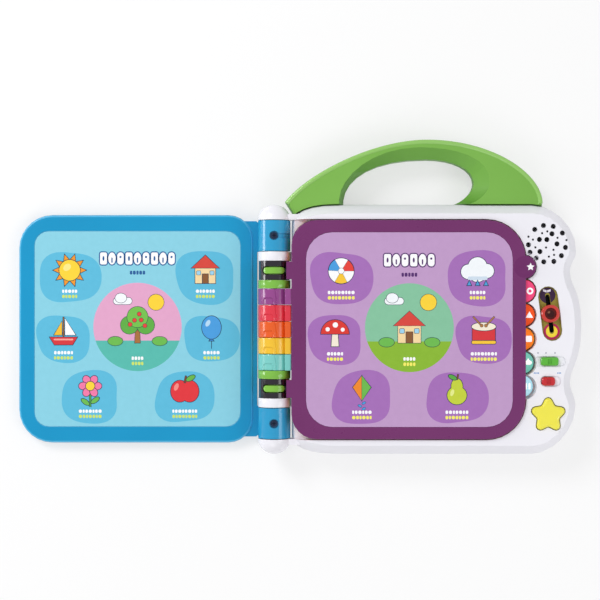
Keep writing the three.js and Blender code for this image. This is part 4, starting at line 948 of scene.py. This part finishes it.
def draw_scene(p, y, first):
    """The big motif in the disc: a house or a tree between two bushes, under a sun and a cloud."""
    p.level = 3
    p.inked(CLOUD_WHITE, bar(-12, y + 21, 15, 5.4))
    p.inked(CLOUD_WHITE, oval(-13.5, y + 23.4, 4.6, 3.8))
    p.inked(SUN_YELLOW, oval(15, y + 20, 6.4))
    if first % 2:
        p.inked(WALL_CREAM, [(-9, y - 12), (9, y - 12), (9, y + 2), (-9, y + 2)])
        p.inked(ROOF_RED, [(-12.4, y + 1.6), (12.4, y + 1.6), (0, y + 13)])
        p.inked(WOOD_BROWN, [(-2.6, y - 12), (2.6, y - 12), (2.6, y - 3.4), (-2.6, y - 3.4)])
        p.inked(WINDOW_BLUE, bar(-5.8, y - 2.6, 3.4, 3.4, 0.5))
        p.inked(WINDOW_BLUE, bar(5.8, y - 2.6, 3.4, 3.4, 0.5))
    else:
        p.inked(TRUNK_BROWN, [(-2.2, y - 13), (2.2, y - 13), (1.6, y - 1), (-1.6, y - 1)])
        for u in (-6.5, 6.5):
            p.inked(CROWN_GREEN, oval(u, y + 1.5, 7.2))
        p.inked(CROWN_LIGHT, oval(0, y + 8, 8.4))
        for u, v in ((-6, 2), (6, 1), (1.4, 10.4), (-2.4, 5.4), (3, 5.6)):
            p.inked(BERRY_RED, oval(u, y + v, 1.6), 0.3)
    for side in (-1, 1):
        p.inked(LEAF_GREEN, oval(side * 18, y - 11.5, 6.0, 3.6))


def draw_spread(p, half_x, half_y, tones, first, title, tiles):
    """One printed face: a title row, a disc with a big motif, and patches with small ones round it.

    The tones are the inks of the patches, the sky, the ground and the captions. The first is the number of
    the first small motif.
    """
    patch, sky, ground, caption = tones
    disc_radius = DISC_SHARE * half_x
    disc_y = DISC_RISE_SHARE * half_y
    places = [(u * half_x, v * half_y, size) for u, v, size in PATCHES]
    for k, (x, y, size) in enumerate(places):
        p.shape(patch, pebble(x, y, PATCH_HALF_WIDTH * size, PATCH_HALF_HEIGHT * size, first + 1.7 * k), 1)
    draw_disc(p, disc_y, disc_radius, sky, ground)
    for k, (x, y, _) in enumerate(places):
        p.level = 3
        p.place = (x, y + MOTIF_RISE, MOTIF_SIZE)
        MOTIFS[(first + k) % len(MOTIFS)](p, 0, 0)
        p.place = (0.0, 0.0, 1.0)
        widths = [1.6 + 0.5 * ((k + i + first) % 3) for i in range(5 + (k + first) % 4)]
        draw_caption(p, x, [y - drop for drop in CAPTION_DROPS], widths, CAPTION_HEIGHT, caption)
    draw_scene(p, disc_y, first)
    rows = [disc_y - disc_radius + rise for rise in DISC_CAPTION_RISES]
    draw_caption(p, 0, rows, [1.8, 2.2, 1.7, 2.1], DISC_CAPTION_HEIGHT, caption, level=4)
    draw_title(p, 0, half_y - TITLE_DROP, tiles, title)
    draw_dashes(p, 0, half_y - SUBTITLE_DROP, [1.9, 2.3, 1.8, 2.2, 2.0], 3.2, title)


def sheet_print(name, node, body, slot, upward=True):
    """The print for a sheet of the frame, with half the sheet's width and half its height."""
    low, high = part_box(node)
    middle = ((low.x + high.x) / 2 - SPINE_X) / MM
    sheet = Print(name, body, slot, middle, 0.0, (high.z if upward else low.z) / MM, upward)
    return sheet, (high.x - low.x) / 2 / MM, (high.y - low.y) / 2 / MM


def cover_print():
    sheet, half_x, half_y = sheet_print("cover_print", "cover_label", "cover", "cover_print")
    tones = (COVER_BLOB, COVER_DISC, COVER_GROUND, LIME)
    draw_spread(sheet, half_x, half_y, tones, 0, COVER_TITLE, COVER_TILES)
    sheet.finish()


def page_print(place, upward):
    """The print on one side of a page. A back's disc has the colours of the page that it lies beside."""
    side = "front" if upward else "back"
    name = f"page_{place + 1}_{side}"
    body = f"leaf_{place + 1}"
    sheet, half_x, half_y = sheet_print(name + "_print", name + "_label", body, "page_print", upward)
    disc = place if upward else min(place + 1, PAGE_COUNT - 1)
    tones = (PAGE_BLOBS[place], PAGE_DISCS[disc], PAGE_GROUNDS[disc], PAGE_CAPTION)
    first = 7 + 3 * place + (0 if upward else 5)
    title = PAGE_TITLE if place else FIRST_PAGE_TITLE
    draw_spread(sheet, half_x, half_y, tones, first, title, PAGE_TILES)
    sheet.finish()


def print_faces():
    cover_print()
    for place in range(PAGE_COUNT):
        page_print(place, True)
        page_print(place, False)


# White signs on the index tabs, one to each page and one on the bed
def tab_sign_shapes(place, tab):
    """A tab's sign as (ink, outline) pairs, the lower shapes first."""
    u = TAB_SIGN_OFFSET
    return [
        [(WHITE, star(u, 0, 3.2))],
        [(WHITE, oval(u, 0, 2.7)), (tab, oval(u, 0, 1.3))],
        [(WHITE, [(u - 2.9, -2.2), (u + 2.9, -2.2), (u, 2.9)])],
        [(WHITE, bar(u, 0, 4.9, 4.9, 1.0))],
        [(WHITE, oval(u, 0, 3.0, 1.9)),
         (WHITE, [(u - 0.6, 0), (u + 0.6, 0), (u + 0.6, 3.2), (u - 0.6, 3.2)])],
        [(WHITE, bar(u - 1.4, 0, 1.5, 5.0, 0.6)), (WHITE, bar(u + 1.4, 0, 1.5, 5.0, 0.6))],
    ][place]


def tab_signs():
    x = (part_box("page_1")[1].x - SPINE_X) / MM - TAB_INSET
    for place, tab in enumerate(TAB_COLOURS):
        on_bed = place == PAGE_COUNT
        node = "bed_label" if on_bed else f"page_{place + 1}"
        body = "case" if on_bed else f"leaf_{place + 1}"
        slot = "bed_print" if on_bed else "page_print"
        y, z = TAB_TOP_Y - place * TAB_PITCH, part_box(node)[1].z / MM
        sign = Print(f"tab_sign_{place + 1}", body, slot, x, y, z)
        # Painted light: emission that lifts the deeper tabs' print out of the recess's shade
        sign.glow = TAB_PAINTED_LIGHT_STEP * place
        sign.shape(tab, oval(0, 0, TAB_DISC_RADIUS, sides=48), 4)
        for code, outline in tab_sign_shapes(place, tab):
            sign.shape(code, outline, 10 if code == tab else 8)
        sign.finish()


# Print on the controls
def mode_plate_print():
    """A dark disc with a small open book at the slot's top end, and a red and yellow disc at the other."""
    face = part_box("battery_door")[0].z / MM + MODE_FACE_HEIGHT
    plate = Print("mode_plate_print", "case", "mode_print", 0.0, 0.0, face)
    inward = math.atan2(MODE_MIDDLE[1] - MODE_TOP[1], MODE_MIDDLE[0] - MODE_TOP[0])
    plate.shape("3a2140", slotted(*MODE_TOP, 6.3, inward), 4)
    fold, level = MODE_TOP[0] - 0.5, MODE_TOP[1]
    for side in (-1, 1):
        leaf = [(fold + side * u, level + v) for u, v in ((0.2, 4.0), (3.0, 4.9), (3.0, 3.2), (0.2, 2.3))]
        plate.shape("efe6f2", leaf[::-side], 8)
    plate.shape("b92a58", slotted(*MODE_BOTTOM, 6.5, inward + math.pi), 4)
    plate.shape("f4dc3c", slotted(*MODE_BOTTOM, 4.6, inward + math.pi), 8)
    plate.finish()


def mode_knob_print():
    """The dark dish of the knob, with a painted highlight as its glint."""
    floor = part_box("mode_knob")[1].z / MM - KNOB_DISH
    knob = Print("mode_knob_print", "mode", "mode_print", *MODE_MIDDLE, floor)
    knob.shape("5e1a18", oval(0, 0, 4.5), 4)
    knob.shape("3a1012", oval(0.3, -0.2, 3.0), 8)
    # Painted highlight: a small light oval as the glint in the dish
    knob.shape("8a5a44", oval(-1.2, 1.1, 1.1, 0.8, 0.6), 12)
    knob.finish()


def panel_marks():
    """Dots over the volume slider, and two short rows of marks over the language slider."""
    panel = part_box("battery_door")[0].z / MM + PANEL_HEIGHT
    marks = Print("panel_marks", "case", "white_case", 0.0, 0.0, panel)
    for x in VOLUME_MARKS_X:
        marks.shape("b9bac6", oval(x, VOLUME_MARKS_Y, 0.75, sides=14), 5)
    for x, widths in zip(LANGUAGE_MARKS_X, ([0.9, 0.7, 0.9, 0.8], [0.8, 0.9, 0.7])):
        draw_dashes(marks, x, LANGUAGE_MARKS_Y, widths, 1.1, "5f93cf", 0.3)
    marks.finish()


def screw_crosses():
    """The cross slots of the two collar screws, as dark print on the flat heads: painted shade in place of
    recessed slots.
    """
    for end in ("top", "bottom"):
        low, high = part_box(f"collar_screw_{end}")
        x = ((low.x + high.x) / 2 - SPINE_X) / MM
        y = ((low.y + high.y) / 2 - SPINE_Y) / MM
        cross = Print(f"screw_cross_{end}", "cover", "steel", x, y, high.z / MM)
        # Painted shade: the dark of the slots
        cross.shape("0c1a33", bar(0, 0, 3.4, 0.8, 0.3), 6)
        cross.shape("0c1a33", bar(0, 0, 0.8, 3.4, 0.3), 6)
        cross.finish()


# Floor, lights and camera
def floor_material():
    """A pale floor that looks a little brighter to the camera than the light it throws back."""
    material, nodes, links, shader, _ = start_material("pale_floor")
    shader.inputs["Base Color"].default_value = (0.93, 0.93, 0.935, 1)
    shader.inputs["Roughness"].default_value = 0.9
    path = nodes.new("ShaderNodeLightPath")
    glow = nodes.new("ShaderNodeEmission")
    glow.inputs["Color"].default_value = (1, 1, 1, 1)
    glow.inputs["Strength"].default_value = 1.0
    share = nodes.new("ShaderNodeMath")
    share.operation = "MULTIPLY"
    share.inputs[1].default_value = 0.55
    mix = nodes.new("ShaderNodeMixShader")
    links.new(path.outputs["Is Camera Ray"], share.inputs[0])
    links.new(share.outputs[0], mix.inputs["Fac"])
    links.new(shader.outputs["BSDF"], mix.inputs[1])
    links.new(glow.outputs["Emission"], mix.inputs[2])
    links.new(mix.outputs["Shader"], nodes["Material Output"].inputs["Surface"])
    return material


def area(name, at, size, power):
    """A round lamp that shines on the middle of the table."""
    light = bpy.data.lights.new(name, "AREA")
    light.shape = "DISK"
    light.size = size
    light.energy = power
    lamp = bpy.data.objects.new(name, light)
    lamp.location = at
    lamp.rotation_mode = "QUATERNION"
    lamp.rotation_quaternion = (Vector((0, 0, 0)) - Vector(at)).to_track_quat("-Z", "Y")
    bpy.context.scene.collection.objects.link(lamp)


def stage():
    bpy.ops.mesh.primitive_plane_add(size=8, location=(0, 0, -0.0002))
    floor = bpy.context.object
    floor.name = "floor"
    floor.data.materials.append(floor_material())

    world = bpy.data.worlds.new("studio")
    bpy.context.scene.world = world
    world.use_nodes = True
    background = world.node_tree.nodes["Background"]
    background.inputs["Color"].default_value = (1, 1, 1, 1)
    background.inputs["Strength"].default_value = 0.55

    area("key", (-0.95, 1.0, 1.25), 0.7, 13.4)
    area("left", (-1.3, 0.1, 0.3), 0.4, 3.4)
    area("right", (1.35, -0.5, 1.4), 1.0, 7.0)
    area("front", (-0.2, -1.4, 1.2), 1.0, 4.5)


def camera():
    data = bpy.data.cameras.new("camera")
    data.sensor_width = SENSOR
    data.lens = SENSOR * (CAMERA_HEIGHT - SPINE_Z) / PICTURE_WIDTH
    data.clip_start = 0.05
    seen = bpy.data.objects.new("camera", data)
    seen.location = PICTURE_CENTRE + Vector((0, 0, CAMERA_HEIGHT))
    bpy.context.scene.collection.objects.link(seen)
    bpy.context.scene.camera = seen


dress_frame()
spine_ends()
knuckles()
handle_bead()
print_faces()
tab_signs()
mode_plate_print()
mode_knob_print()
panel_marks()
screw_crosses()
stage()
camera()
bpy.context.scene.view_settings.view_transform = "Standard"
